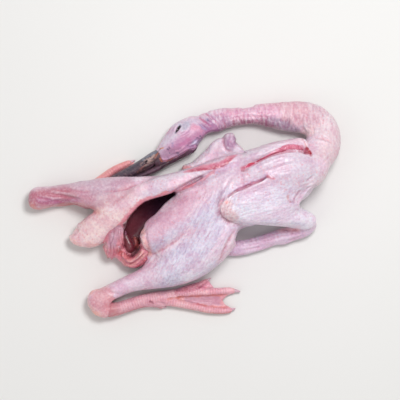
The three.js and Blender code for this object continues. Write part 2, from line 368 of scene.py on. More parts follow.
class Clay:
    """A piece's points, held as arrays while they are smoothed, pushed about and painted."""

    def __init__(self, piece, net):
        self.piece = even_out(piece, net)
        self.net = net
        mesh = piece.data
        self.count = len(mesh.vertices)
        points = np.empty(self.count * 3)
        mesh.vertices.foreach_get("co", points)
        self.points = points.reshape(-1, 3)
        ends = np.empty(len(mesh.edges) * 2, int)
        mesh.edges.foreach_get("vertices", ends)
        ends = ends.reshape(-1, 2)
        self.start = np.concatenate((ends[:, 0], ends[:, 1]))
        self.end = np.concatenate((ends[:, 1], ends[:, 0]))
        self.degree = np.bincount(self.start, minlength=self.count).clip(1)
        self.lift = np.zeros(self.count)
        self.seams = np.zeros(self.count)
        self.settle()

    def settle(self):
        """Writes the points back to the piece and reads its normals anew."""
        self.piece.data.vertices.foreach_set("co", self.points.ravel())
        self.piece.data.update()
        normals = np.empty(self.count * 3)
        self.piece.data.vertex_normals.foreach_get("vector", normals)
        self.normals = normals.reshape(-1, 3)
        self.across = self.points[:, 0] / MM + PLAN_ORIGIN[0]
        self.down = PLAN_ORIGIN[1] - self.points[:, 1] / MM
        self.up = self.points[:, 2] / MM

    def blur(self, values, rounds):
        """Spreads values over neighbouring points."""
        values = values.reshape(self.count, -1)
        for _ in range(rounds):
            sums = [np.bincount(self.start, column[self.end], self.count) for column in values.T]
            values = values + RELAX * (np.stack(sums, 1) / self.degree[:, None] - values)
        return values

    def soften(self, width, weight=1.0):
        """Irons out all that is narrower than width mm, without thinning the piece."""
        rounds = max(1, int(2 * width**2 / (RELAX * self.net**2)))
        ironed = self.blur(self.points, rounds)
        ironed = ironed + self.blur(self.points - ironed, rounds)
        self.points = self.points + np.broadcast_to(weight, self.count)[:, None] * (ironed - self.points)
        self.settle()

    def bend(self):
        """How sharply the surface bends at each point: above 0 in hollows, below 0 on ridges, in mm."""
        return ((self.blur(self.points, 1) - self.points) * self.normals).sum(1) / (RELAX * MM)

    def sharpness(self):
        """How sharply the surface bends round about each point."""
        return self.blur(np.abs(self.bend()) / self.net**2, 6)[:, 0]

    def fill(self, rounds, weight):
        """Fills hollows between joined limbs, as flesh under skin does, and leaves bulges alone."""
        for turn in range(rounds):
            if turn % 12 == 0:
                self.settle()
            rise = self.bend().clip(0) * weight * MM
            self.points = self.points + rise[:, None] * self.normals
        self.settle()

    def swell(self):
        """Moves each point out along its normal by the lift that was gathered for it, in mm."""
        self.points = self.points + self.normals * (self.lift * MM)[:, None]
        self.lift = np.zeros(self.count)
        self.settle()

    def beside(self, line, reach, heights=EVERY_HEIGHT):
        """The points within reach of a line: which, how far off, on which side and how far along it.

        The last value is the length of the line.
        """
        path = curve(line)
        low, high = path.min(0) - reach, path.max(0) + reach
        near = (self.across > low[0]) & (self.across < high[0])
        near &= (self.down > low[1]) & (self.down < high[1])
        near = np.flatnonzero(near & (self.up > heights[0]) & (self.up < heights[1]))
        place = np.stack((self.across[near], self.down[near]), 1)
        gap = np.full(len(near), 1e9)
        along = np.zeros(len(near))
        side = np.zeros(len(near))
        passed = 0.0
        for start, end in zip(path, path[1:] if len(path) > 1 else path):
            step = end - start
            away = place - start
            length = max(np.linalg.norm(step), 1e-6)
            share = (away @ step / length**2).clip(0, 1)
            here = np.linalg.norm(away - share[:, None] * step, axis=1)
            closer = here < gap
            gap[closer] = here[closer]
            along[closer] = passed + share[closer] * length
            side[closer] = np.sign(step[0] * away[closer, 1] - step[1] * away[closer, 0])
            passed += length
        keep = gap < reach
        return near[keep], gap[keep], side[keep], along[keep], passed

    def inside(self, outline):
        """How far inside an outline of the plan each point lies, in mm, and below 0 outside it."""
        gap = np.full(self.count, 1e9)
        odd = np.zeros(self.count, bool)
        place = np.stack((self.across, self.down), 1)
        for a, b in zip(outline, outline[1:] + outline[:1]):
            a, b = np.array(a, float), np.array(b, float)
            share = ((place - a) @ (b - a) / ((b - a) @ (b - a))).clip(0, 1)
            gap = np.minimum(gap, np.linalg.norm(place - a - share[:, None] * (b - a), axis=1))
            if a[1] != b[1]:
                cross = a[0] + (self.down - a[1]) * (b[0] - a[0]) / (b[1] - a[1])
                odd ^= ((a[1] > self.down) != (b[1] > self.down)) & (self.across < cross)
        return np.where(odd, gap, -gap)

    def top(self, across, down):
        """The height of the piece's upper side at a place in the plan, in mm."""
        near = (np.hypot(self.across - across, self.down - down) < 1.4) & (self.normals[:, 2] > 0.2)
        return float(self.up[near & (self.up > self.up[near].max() - 4)].mean())

    def fold(self, depth, width, line, rim=0.3):
        """Presses a groove along a line, with a depth and width in mm. A depth below 0 raises a ridge."""
        near, gap, _, along, length = self.beside(line, 3.2 * width)
        ends = ease(along / (0.3 * length + 0.01)) * ease((length - along) / (0.3 * length + 0.01))
        facing = ease(0.4 + 1.4 * self.normals[near, 2])
        groove = np.exp(-((gap / width) ** 2)) - rim * np.exp(-(((gap - 2 * width) / (0.8 * width)) ** 2))
        self.lift[near] -= depth * groove * ends * facing

    def step(self, height, reach, line):
        """Lets the right hand side of a line overlap its left hand side, by a height in mm."""
        near, gap, side, along, length = self.beside(line, 3 * reach)
        ends = ease(along / (0.25 * length)) * ease((length - along) / (0.25 * length))
        facing = ease(0.4 + 1.4 * self.normals[near, 2])
        self.lift[near] += height * side * (1 - np.exp(-gap / 0.8)) * np.exp(-gap / reach) * ends * facing

    def pull(self, line, reach, shift):
        """Draws all within reach of a line a few mm across and down."""
        near, gap, _, along, length = self.beside(line, reach)
        ends = ease(along / (0.3 * length)) * ease((length - along) / (0.3 * length))
        pulled = ease(1 - gap / reach) * ends
        self.points[near, 0] += pulled * shift[0] * MM
        self.points[near, 1] -= pulled * shift[1] * MM
        self.settle()

    def plates(self, height, pitch, reach, line):
        """Raises cross plates, as on the front of a bird's foot, along a line."""
        near, gap, _, along, length = self.beside(line, reach)
        plate = np.abs(np.sin(np.pi * along / pitch)) ** 0.6 - 0.6
        edge = ease(2.5 - 2.5 * gap / reach) * ease(along / 4) * ease((length - along) / 4)
        facing = ease(0.3 + 1.6 * self.normals[near, 2])
        self.lift[near] += height * plate * edge * facing
        self.seams[near] = np.maximum(self.seams[near], ease(-2.4 * plate) * edge * facing)

    def paint(self, ground, washes):
        """Lays washes over a ground colour, and sets how far the edges of all colours stray, in mm."""
        self.colour = np.tile(tone(*ground), (self.count, 1))
        a, b, c = self.across, self.down, self.up
        self.waver = WAVER * (
            np.sin(1.7 * a + 0.9 * b + 0.6 * c) * np.sin(0.8 * a - 1.9 * b + 1.1 * c)
            + np.sin(0.61 * a + 0.33 * b - 0.47 * c + 2) + 0.8 * np.sin(-0.29 * a + 0.73 * b + 0.31 * c)
        )
        each(self.wash, washes)

    def wash(self, colour, share, reach, fade, line, heights=EVERY_HEIGHT, side=0):
        """Lays a colour over all that lies within reach of a line, or over one side of it alone."""
        near, gap, sides, *_ = self.beside(line, reach, heights)
        weight = share * ease((reach - gap - self.waver[near]) / fade)
        weight = weight * ease((self.up[near] - heights[0]) / 4) * ease((heights[1] - self.up[near]) / 4)
        if side:
            weight = weight * ease(0.5 + side * sides * gap)
        self.colour[near] += weight[:, None] * (tone(*colour) - self.colour[near])

    def flood(self, colour, share, fade, outline):
        """Lays a colour over all that lies inside an outline of the plan."""
        weight = share * ease(0.5 + (self.inside(outline) - 0.6 * self.waver) / fade)
        self.colour += weight[:, None] * (tone(*colour) - self.colour)

    def shade_folds(self, hollow, hollow_share, ridge, ridge_share, full=0.14):
        """Paints shade into folds, redder where blood shows through the thin skin there, and paints
        highlights on ridges.
        """
        bend = self.blur(self.bend() / self.net**2, 2)[:, 0]
        for colour, share, bent in ((hollow, hollow_share, bend), (ridge, ridge_share, -bend)):
            mask = share * ease(bent / full)
            self.colour += mask[:, None] * (tone(*colour) - self.colour)

    def spread(self, reach, fade, line):
        """A mask that is 1 along a line and fades out at its reach."""
        near, gap, *_ = self.beside(line, reach)
        made = np.zeros(self.count)
        made[near] = ease((reach - gap) / fade)
        return made

    def finish(self, **masks):
        """Stores the painted colour and the masks on the piece."""
        opaque = np.hstack((self.colour.clip(0, 1), np.ones((self.count, 1)))).astype(np.float32)
        tint = self.piece.data.color_attributes.new("tint", "FLOAT_COLOR", "POINT")
        tint.data.foreach_set("color", opaque.ravel())
        for name, mask in masks.items():
            layer = self.piece.data.attributes.new(name, "FLOAT", "POINT")
            layer.data.foreach_set("value", mask.astype(np.float32))
        return self.piece


def fan(first, last, count, wobble=0.12):
    """Lines spread between a first and a last line, none of them quite even."""
    first, last = np.array(first, float), np.array(last, float)
    for turn in range(count):
        share = (turn + 0.5 + wobble * 3 * math.sin(7.3 * turn)) / count
        line = first + (last - first) * share
        sway = wobble * 8 * np.sin(np.arange(len(line)) * 2.1 + 5 * turn)
        yield line + np.stack((sway, sway[::-1]), 1)


# Outlines of what is cut out of the skin: the head, the bill under the far leg, and the near foot
HEAD_CUT = [
    (203, 100), (205, 110), (217.5, 134), (210.5, 139), (204, 147.5), (196, 154.5), (186, 160),
    (178, 164.5), (170, 168.5), (163, 172), (158, 174.2), (150, 176), (136, 177), (108, 176.6), (100, 177),
    (86, 181.5), (80, 170), (80, 100),
]
BILL_CUT = [
    (88, 180), (100, 175.5), (150, 174), (158, 172), (153, 180), (146, 184), (104, 184.5), (90, 186),
]
FOOT_CUT = [
    (109.3, 299.6), (121, 297.8), (131, 295), (141, 292.2), (152, 290.6), (163, 290.6), (172, 289.5),
    (179, 285.5), (188, 281.5), (203, 276), (214, 272), (250, 284), (250, 324), (104, 324), (107.5, 317),
    (110.6, 308),
]
# Where the torn flesh of the vent shows
VENT_CUT = [
    (124.6, 223.4), (118, 228), (108.5, 235.6), (102, 243), (94, 250), (94, 262), (104, 270), (118, 271),
    (127, 270.6), (135, 267), (142, 262), (149, 256.4), (149, 252.6), (145, 247), (142.4, 240),
    (139.6, 242), (138, 250), (133, 256), (127, 250), (124.5, 240), (123.8, 231),
]
# Each cut, with the height in mm that it goes up to
SKIN_CUTS = ((HEAD_CUT, OVER), (BILL_CUT, 13), (FOOT_CUT, 19), (VENT_CUT, OVER))
# Flesh that fills the slits of the solid bird up to shallow furrows: stations of each
PLUGS = (
    [(301, 149, 50, 3, 5), (296, 149, 56, 4.5, 5.5), (278, 153.5, 61, 4.5, 6), (260, 159.5, 61, 4.5, 6.5),
     (243, 167, 60, 4.5, 6.5), (234, 172, 62, 3, 5)],
    [(270, 175.5, 70, 3, 5), (254, 183, 65, 4, 7), (240, 191, 63, 4, 7), (229, 199.5, 61, 3, 6)],
    [(217, 170, 62, 2, 4), (210, 173.2, 60, 2.6, 5.5), (203, 176.5, 58, 2.6, 6)],
    [(146, 262, 12, 4, 7), (152, 256, 19, 4.6, 11), (160, 250.5, 25, 4, 10), (168, 246, 30, 3, 8)],
    [(180, 193.4, 42, 1.6, 4.5), (174.4, 199, 41.6, 3.4, 6), (168.4, 205, 41.4, 4.1, 7),
     (162.3, 211, 41, 3.4, 7), (157, 215.4, 40, 2.6, 6), (150.7, 220, 38.4, 2.4, 5.5),
     (144.6, 226, 37.2, 1.4, 4)],
    [(102, 293, 14.6, 7, 9), (95.4, 298, 14, 8, 9.6), (94.6, 303.6, 12.6, 7.4, 9.8),
     (99, 310, 11.4, 6.6, 9.4)],
)
# Soft joins: places in the plan where one limb runs into the next, and how far the flesh fills, in mm
SOFT_JOINS = (
    (300, 178, 24), (322, 168, 22), (318, 140, 14), (282, 198, 20), (262, 203, 22), (245, 208, 12),
    (210, 226, 18), (190, 224, 18), (275, 165, 18), (290, 188, 20), (199, 130, 14), (313, 223, 8),
    (96, 301, 12), (88, 304, 9), (205, 160, 12), (180, 215, 20), (160, 240, 12), (300, 160, 14),
    (228, 182, 18), (100, 230, 20), (60, 198, 12), (285, 217, 12), (150, 228, 12), (146, 242, 12),
    (154, 254, 8),
)
# The broad parts with no edges of their own, which are ironed most: a place and its reach, in mm
BROAD = (
    (285, 175, 34), (262, 202, 22), (298, 200, 20), (200, 240, 36), (150, 275, 22), (185, 205, 26),
    (332, 140, 26), (110, 222, 24), (150, 200, 18), (250, 178, 20), (212, 188, 16), (280, 210, 16),
    (165, 225, 20), (205, 215, 14),
)
# Pulls on the outline: a line, its reach, and how far across and down, in mm
PULLS = (
    ([(184, 122), (204, 113), (218, 110), (236, 108)], 12, (0, -2.4)),
    ([(238, 107), (247, 106), (257, 104)], 8, (0, 2)),
    ([(184, 168), (196, 157.6), (205, 150), (214, 143)], 7, (1.7, 2.1)),
    ([(198, 150), (205, 142), (212, 136), (222, 131)], 7, (-1.6, -2.4)),
    ([(38, 187), (30, 193), (29, 204), (36, 211)], 9, (-2, 0.8)),
    ([(223, 141), (229.6, 137), (236, 140)], 7, (0, -4)),
    ([(322, 181), (315, 191), (309, 199), (304, 206), (309, 213)], 7, (-3.6, -2)),
    ([(309, 201), (302.6, 205.6), (309, 211)], 5, (-2.6, -1.2)),
    ([(79, 226), (73.6, 230.6), (68.6, 236)], 5, (2.4, 1.8)),
    ([(235, 138), (243, 144), (249, 149.6), (256, 152)], 6, (-5, 0.6)),
    ([(253, 224), (244, 230), (239.6, 238), (240, 246)], 7, (-4.6, -0.6)),
)
# The edge of the folded wing over the armpit
ARMPIT = [
    (224.4, 200.4), (227, 197.5), (230, 194.8), (236, 191.2), (242, 188.5), (251, 184.3), (257, 182),
    (263, 178.9), (267, 176.8),
]
# Single folds: depth and width in mm, then the line
FOLDS = (
    (1.9, 1.2, ARMPIT),
    (0.9, 3.4, [(264, 175), (250, 181), (238, 187), (229, 192)]),
    (0.9, 1.7, [(223.4, 195), (227.7, 182), (238.5, 173.5)]),
    (0.8, 1.5, [(241.3, 187), (242.3, 179), (240.2, 172.4)]),
    (0.5, 1.4, [(232, 190), (234, 181), (243, 174)]),
    (-0.7, 2.2, [(250, 170.5), (270, 161), (292, 154.5)]),
    (0.6, 1.5, [(248, 176), (270, 166), (296, 159)]),
    (0.5, 1.3, [(262, 172.5), (280, 165), (300, 160)]),
    (0.6, 0.9, [(301.4, 139.6), (303.8, 143.6), (305.4, 148.4)]),
    (1.2, 1.0, [(242, 171.4), (254.8, 163.4), (262.4, 159.4), (272, 155.2), (288, 152), (302, 152.4)]),
    (1.7, 5.0, [(293, 200), (303, 194), (313, 187)]),
    (0.8, 1.4, [(285.5, 194), (288, 199.5), (290, 205)]),
    (0.8, 1.2, [(303, 182), (308, 179.5), (313, 175)]),
    (0.9, 1.4, [(312, 183), (299, 188.7), (293.8, 194), (292, 201)]),
    (0.9, 2.2, [(95, 192.5), (122, 190.5), (137, 184.5), (162, 176.5)]),
    (0.8, 1.8, [(105, 211), (118, 201), (131, 191)]),
    (0.7, 1.8, [(149, 257), (163, 249), (176, 241), (188, 229)]),
    (0.9, 1.4, [(146.8, 229), (146.5, 240), (151.5, 255)]),
    (-1.2, 2.2, [(143, 229), (142.6, 239), (146.5, 250), (151, 258)]),
    (0.5, 1.3, [(236, 226), (228, 240), (219.5, 260)]),
    (-0.6, 1.8, [(244, 223), (234, 237), (223.5, 256)]),
    (0.6, 1.3, [(304, 231.6), (280, 237), (258, 243), (240, 247)]),
    (0.5, 1.2, [(270, 243.5), (252, 249), (234, 252.5)]),
    (0.5, 1.2, [(276, 235), (256, 240), (240, 243.5)]),
    (1.0, 1.2, [(283, 228.5), (291, 230.5), (300, 229)]),
    (0.9, 1.1, [(286, 232), (295, 233.5)]),
    (1.2, 1.3, [(285, 242.3), (296, 239), (306, 235)]),
    (1.2, 1.7, [(42, 194), (58, 195.5), (72, 198), (86, 202)]),
    (0.9, 1.4, [(64, 188.5), (80, 191.3), (96, 192)]),
    (-0.5, 2.0, [(46, 190), (66, 193.5), (84, 197.5)]),
    (0.8, 1.4, [(40, 204), (56, 201), (74, 200)]),
    (0.6, 1.2, [(34, 196), (44, 199), (54, 199)]),
    (0.9, 1.6, [(217, 170), (228, 166.5), (240, 161)]),
    (1.1, 1.5, [(224.5, 133), (223, 142), (226, 150), (236, 152)]),
    (0.5, 1.2, [(228, 140), (233, 143), (237, 142)]),
    (0.9, 1.4, [(105.5, 288), (113, 293), (122, 294)]),
)
# Edges of overlapping parts: height and reach in mm, then a line with the upper part on its right hand
STEPS = (
    (1.7, 4.0, ARMPIT),
    (2.4, 3.5, [(236, 222.5), (223, 216), (220.2, 207.5), (224.5, 199), (230, 195.5)]),
    (1.3, 3.5, [(314, 182), (299, 188.2), (293.2, 194), (291.2, 201), (299, 205)][::-1]),
    (1.4, 3.0, [(254, 226.5), (242, 224.5), (231, 221), (224, 216)]),
    (0.5, 2.5, [(239, 224), (228, 240), (218.5, 260)]),
    (0.5, 3.0, [(149, 258), (163, 250), (176, 242), (190, 228)]),
    (0.7, 3.0, [(93, 193), (122, 191), (137, 185), (164, 176)]),
    (0.9, 2.5, [(303, 144.5), (288, 145), (277, 148.5), (266.7, 154), (255, 160.5), (241, 168)]),
    (0.9, 3.0, [(240, 172.5), (255, 165), (272, 156.5), (288, 153.5), (306, 153.5)]),
    (0.7, 2.5, [(238, 163.5), (226, 169), (212, 173.5)]),
)
# Hollows: depth and the width of the edge in mm, then the outline
HOLE = [
    (305.5, 148.2), (307.4, 148.8), (309.4, 150.8), (310.9, 153.2), (311.3, 155), (310.2, 156.4),
    (308.4, 155.4), (306, 154.4), (302.6, 153.8), (303.6, 151),
]
WEB_HOLLOW = [
    (316, 185), (310, 186.4), (303, 187.4), (297, 191.4), (292, 198), (293, 201.6), (299, 205),
    (304, 201.6), (312, 196), (319, 189),
]
HOLLOWS = ((3.4, 3.0, HOLE), (1.2, 3.0, WEB_HOLLOW))
# Fans of fine wrinkles: a first and a last line, how many, depth and width in mm
WRINKLES = (
    ([(236, 203), (262, 195), (290, 185)], [(240, 214), (272, 212), (308, 208)], 6, 0.15, 1.2),
    ([(244, 216), (270, 218), (300, 217)], [(250, 224), (275, 226), (305, 228)], 3, 0.3, 1.2),
    ([(236, 240), (238, 242), (240, 246)], [(276, 232), (279, 234), (281, 238)], 10, 0.4, 1.2),
    ([(229, 216), (221, 236), (207, 258)], [(196, 212), (189, 228), (172, 252)], 12, 0.45, 1.2),
    ([(207, 258), (190, 270), (165, 280)], [(176, 248), (160, 261), (138, 276)], 8, 0.3, 1.2),
    ([(218, 180), (196, 196), (165, 216)], [(226, 202), (205, 222), (182, 236)], 8, 0.3, 1.6),
    ([(307, 136), (297, 124), (289, 108)], [(310, 138), (326, 141), (340, 150)], 13, 0.6, 1.4),
    ([(290, 110), (262, 109), (236, 112), (214, 119)],
     [(290, 128), (262, 122), (238, 124), (217, 131)], 6, 0.5, 1.2),
    ([(205, 111), (212, 118), (221, 129)], [(218, 109), (224, 116), (229, 127)], 5, 0.7, 1.1),
    ([(226, 115), (231, 120), (233, 126)], [(262, 110), (268, 116), (270, 122)], 12, 0.6, 1.0),
    ([(300, 237), (270, 242), (240, 246)], [(300, 239), (270, 247), (238, 252)], 3, 0.4, 1.1),
    ([(158, 268), (135, 279), (112, 290)], [(166, 281), (140, 289), (116, 297)], 5, 0.25, 1.3),
    ([(262, 148), (280, 144.5), (298, 141.5)], [(255, 157), (272, 149), (298, 144.5)], 3, 0.4, 1.0),
    ([(316, 160), (326, 150), (338, 142)], [(318, 178), (326, 172), (334, 160)], 6, 0.4, 1.4),
    ([(120, 222), (138, 203), (160, 190)], [(96, 225), (118, 204), (150, 186)], 5, 0.25, 1.4),
    ([(256, 170), (275, 165), (300, 163)], [(268, 190), (290, 180), (312, 176)], 9, 0.3, 1.3),
)
FILLING = 120  # how long joins are filled, in rounds on a net of 1 mm
CRISP, CRISP_BROAD = 0.09, 0.07  # how sharply the skin has to bend to be left as it is
PIMPLE_PITCH, PIMPLE_REACH, PIMPLE_HEIGHT = 3.2, 0.9, 0.3  # mm


def pimples(clay, pitch, reach):
    """Goose pimples: a bump round each feather pore, the pores set out on a jittered lattice."""
    place = np.stack((clay.across, clay.down, clay.up), 1) / pitch
    cell = np.floor(place)
    best = np.full(clay.count, 9.0)
    for corner in np.ndindex(3, 3, 3):
        corner = cell + np.array(corner) - 1
        seed = corner @ np.array(((12.99, 78.23, 37.72), (93.99, 67.35, 28.11), (43.33, 17.87, 59.21)))
        jitter = np.modf(np.abs(np.sin(seed) * 43758.55))[0]
        best = np.minimum(best, np.linalg.norm(corner + 0.2 + 0.6 * jitter - place, axis=1))
    return np.exp(-((best * pitch / reach) ** 2))


def over_places(clay, places, full):
    """A mask over places of the plan, which fades out at the reach given for each."""
    made = np.zeros(clay.count)
    for across, down, reach in places:
        gap = np.hypot(clay.across - across, clay.down - down)
        made = np.maximum(made, ease(full - full * gap / reach))
    return made


def soften_limbs(clay):
    """Fills the joins and irons out the facets, but keeps cut edges and folded skin crisp."""
    clay.soften(1.1)
    soft = over_places(clay, SOFT_JOINS, 1.6)
    broad = over_places(clay, BROAD, 1.5)
    clay.fill(int(FILLING / clay.net), 0.03 + 0.9 * soft)
    clay.soften(1.3)
    clay.soften(FACET, 1 - ease((clay.sharpness() - CRISP) / 0.12))
    clay.soften(2.2 * FACET, broad * (1 - ease((clay.sharpness() - CRISP_BROAD) / 0.08)))


def fold_skin(clay):
    """Works the folds, wrinkles and goose pimples into the skin."""
    each(clay.step, STEPS)
    clay.swell()
    each(clay.fold, FOLDS)
    for first, last, count, depth, width in WRINKLES:
        for turn, line in enumerate(fan(first, last, count)):
            clay.fold(depth * (0.7 + 0.4 * math.sin(3.7 * turn)), width, line, rim=0.5)
    for depth, width, outline in HOLLOWS:
        clay.lift -= depth * ease(0.5 + clay.inside(outline) / width) * ease(2 * clay.normals[:, 2])
    goose_skin = pimples(clay, PIMPLE_PITCH, PIMPLE_REACH) * ease(0.5 - clay.inside(BELLY_CUT))
    clay.lift += PIMPLE_HEIGHT * goose_skin
    clay.swell()


# Colours of the skin, as seen in daylight. The seventh is red flesh in painted shadow, and the last is
# painted shade for the deep cavity and the low skin under the far leg.
PALE = (228, 208, 221)
ROSE = (226, 188, 206)
WING = (226, 217, 233)
CREAM = (242, 215, 213)
CORAL = (212, 122, 116)
PINK = (224, 164, 192)
CRIMSON_SHADOW = (176, 62, 88)
WINE = (118, 56, 66)
DARK_SHADE = (64, 35, 56)
# Washes that the head and the neck share, so that they match where they meet
NAPE_WASHES = (
    ((170, 118, 158), 0.85, 9, 6, [(207, 126), (216, 121), (226, 121)]),
    ((228, 190, 208), 0.7, 4, 3, [(190, 116), (204, 112), (218, 109.5)]),
    ((172, 116, 158), 0.85, 4, 3, [(205, 138), (212, 132), (222, 128)]),
    ((232, 208, 220), 0.6, 1.2, 1.0, [(197.3, 117), (203, 121.5), (209, 127)]),
    ((206, 110, 150), 0.6, 1.2, 1.0, [(199, 117.4), (205, 122), (210.4, 126)]),
    ((232, 208, 220), 0.6, 1.2, 1.0, [(205, 114.5), (211, 119.4), (216.6, 124)]),
    ((206, 110, 150), 0.6, 1.2, 1.0, [(206.6, 114), (213, 119), (218, 123.6)]),
    ((160, 160, 196), 0.55, 1.8, 1.5, [(200, 124.5), (205.5, 129)]),
    ((160, 160, 196), 0.5, 1.6, 1.4, [(207, 119), (209, 120.5)]),
)
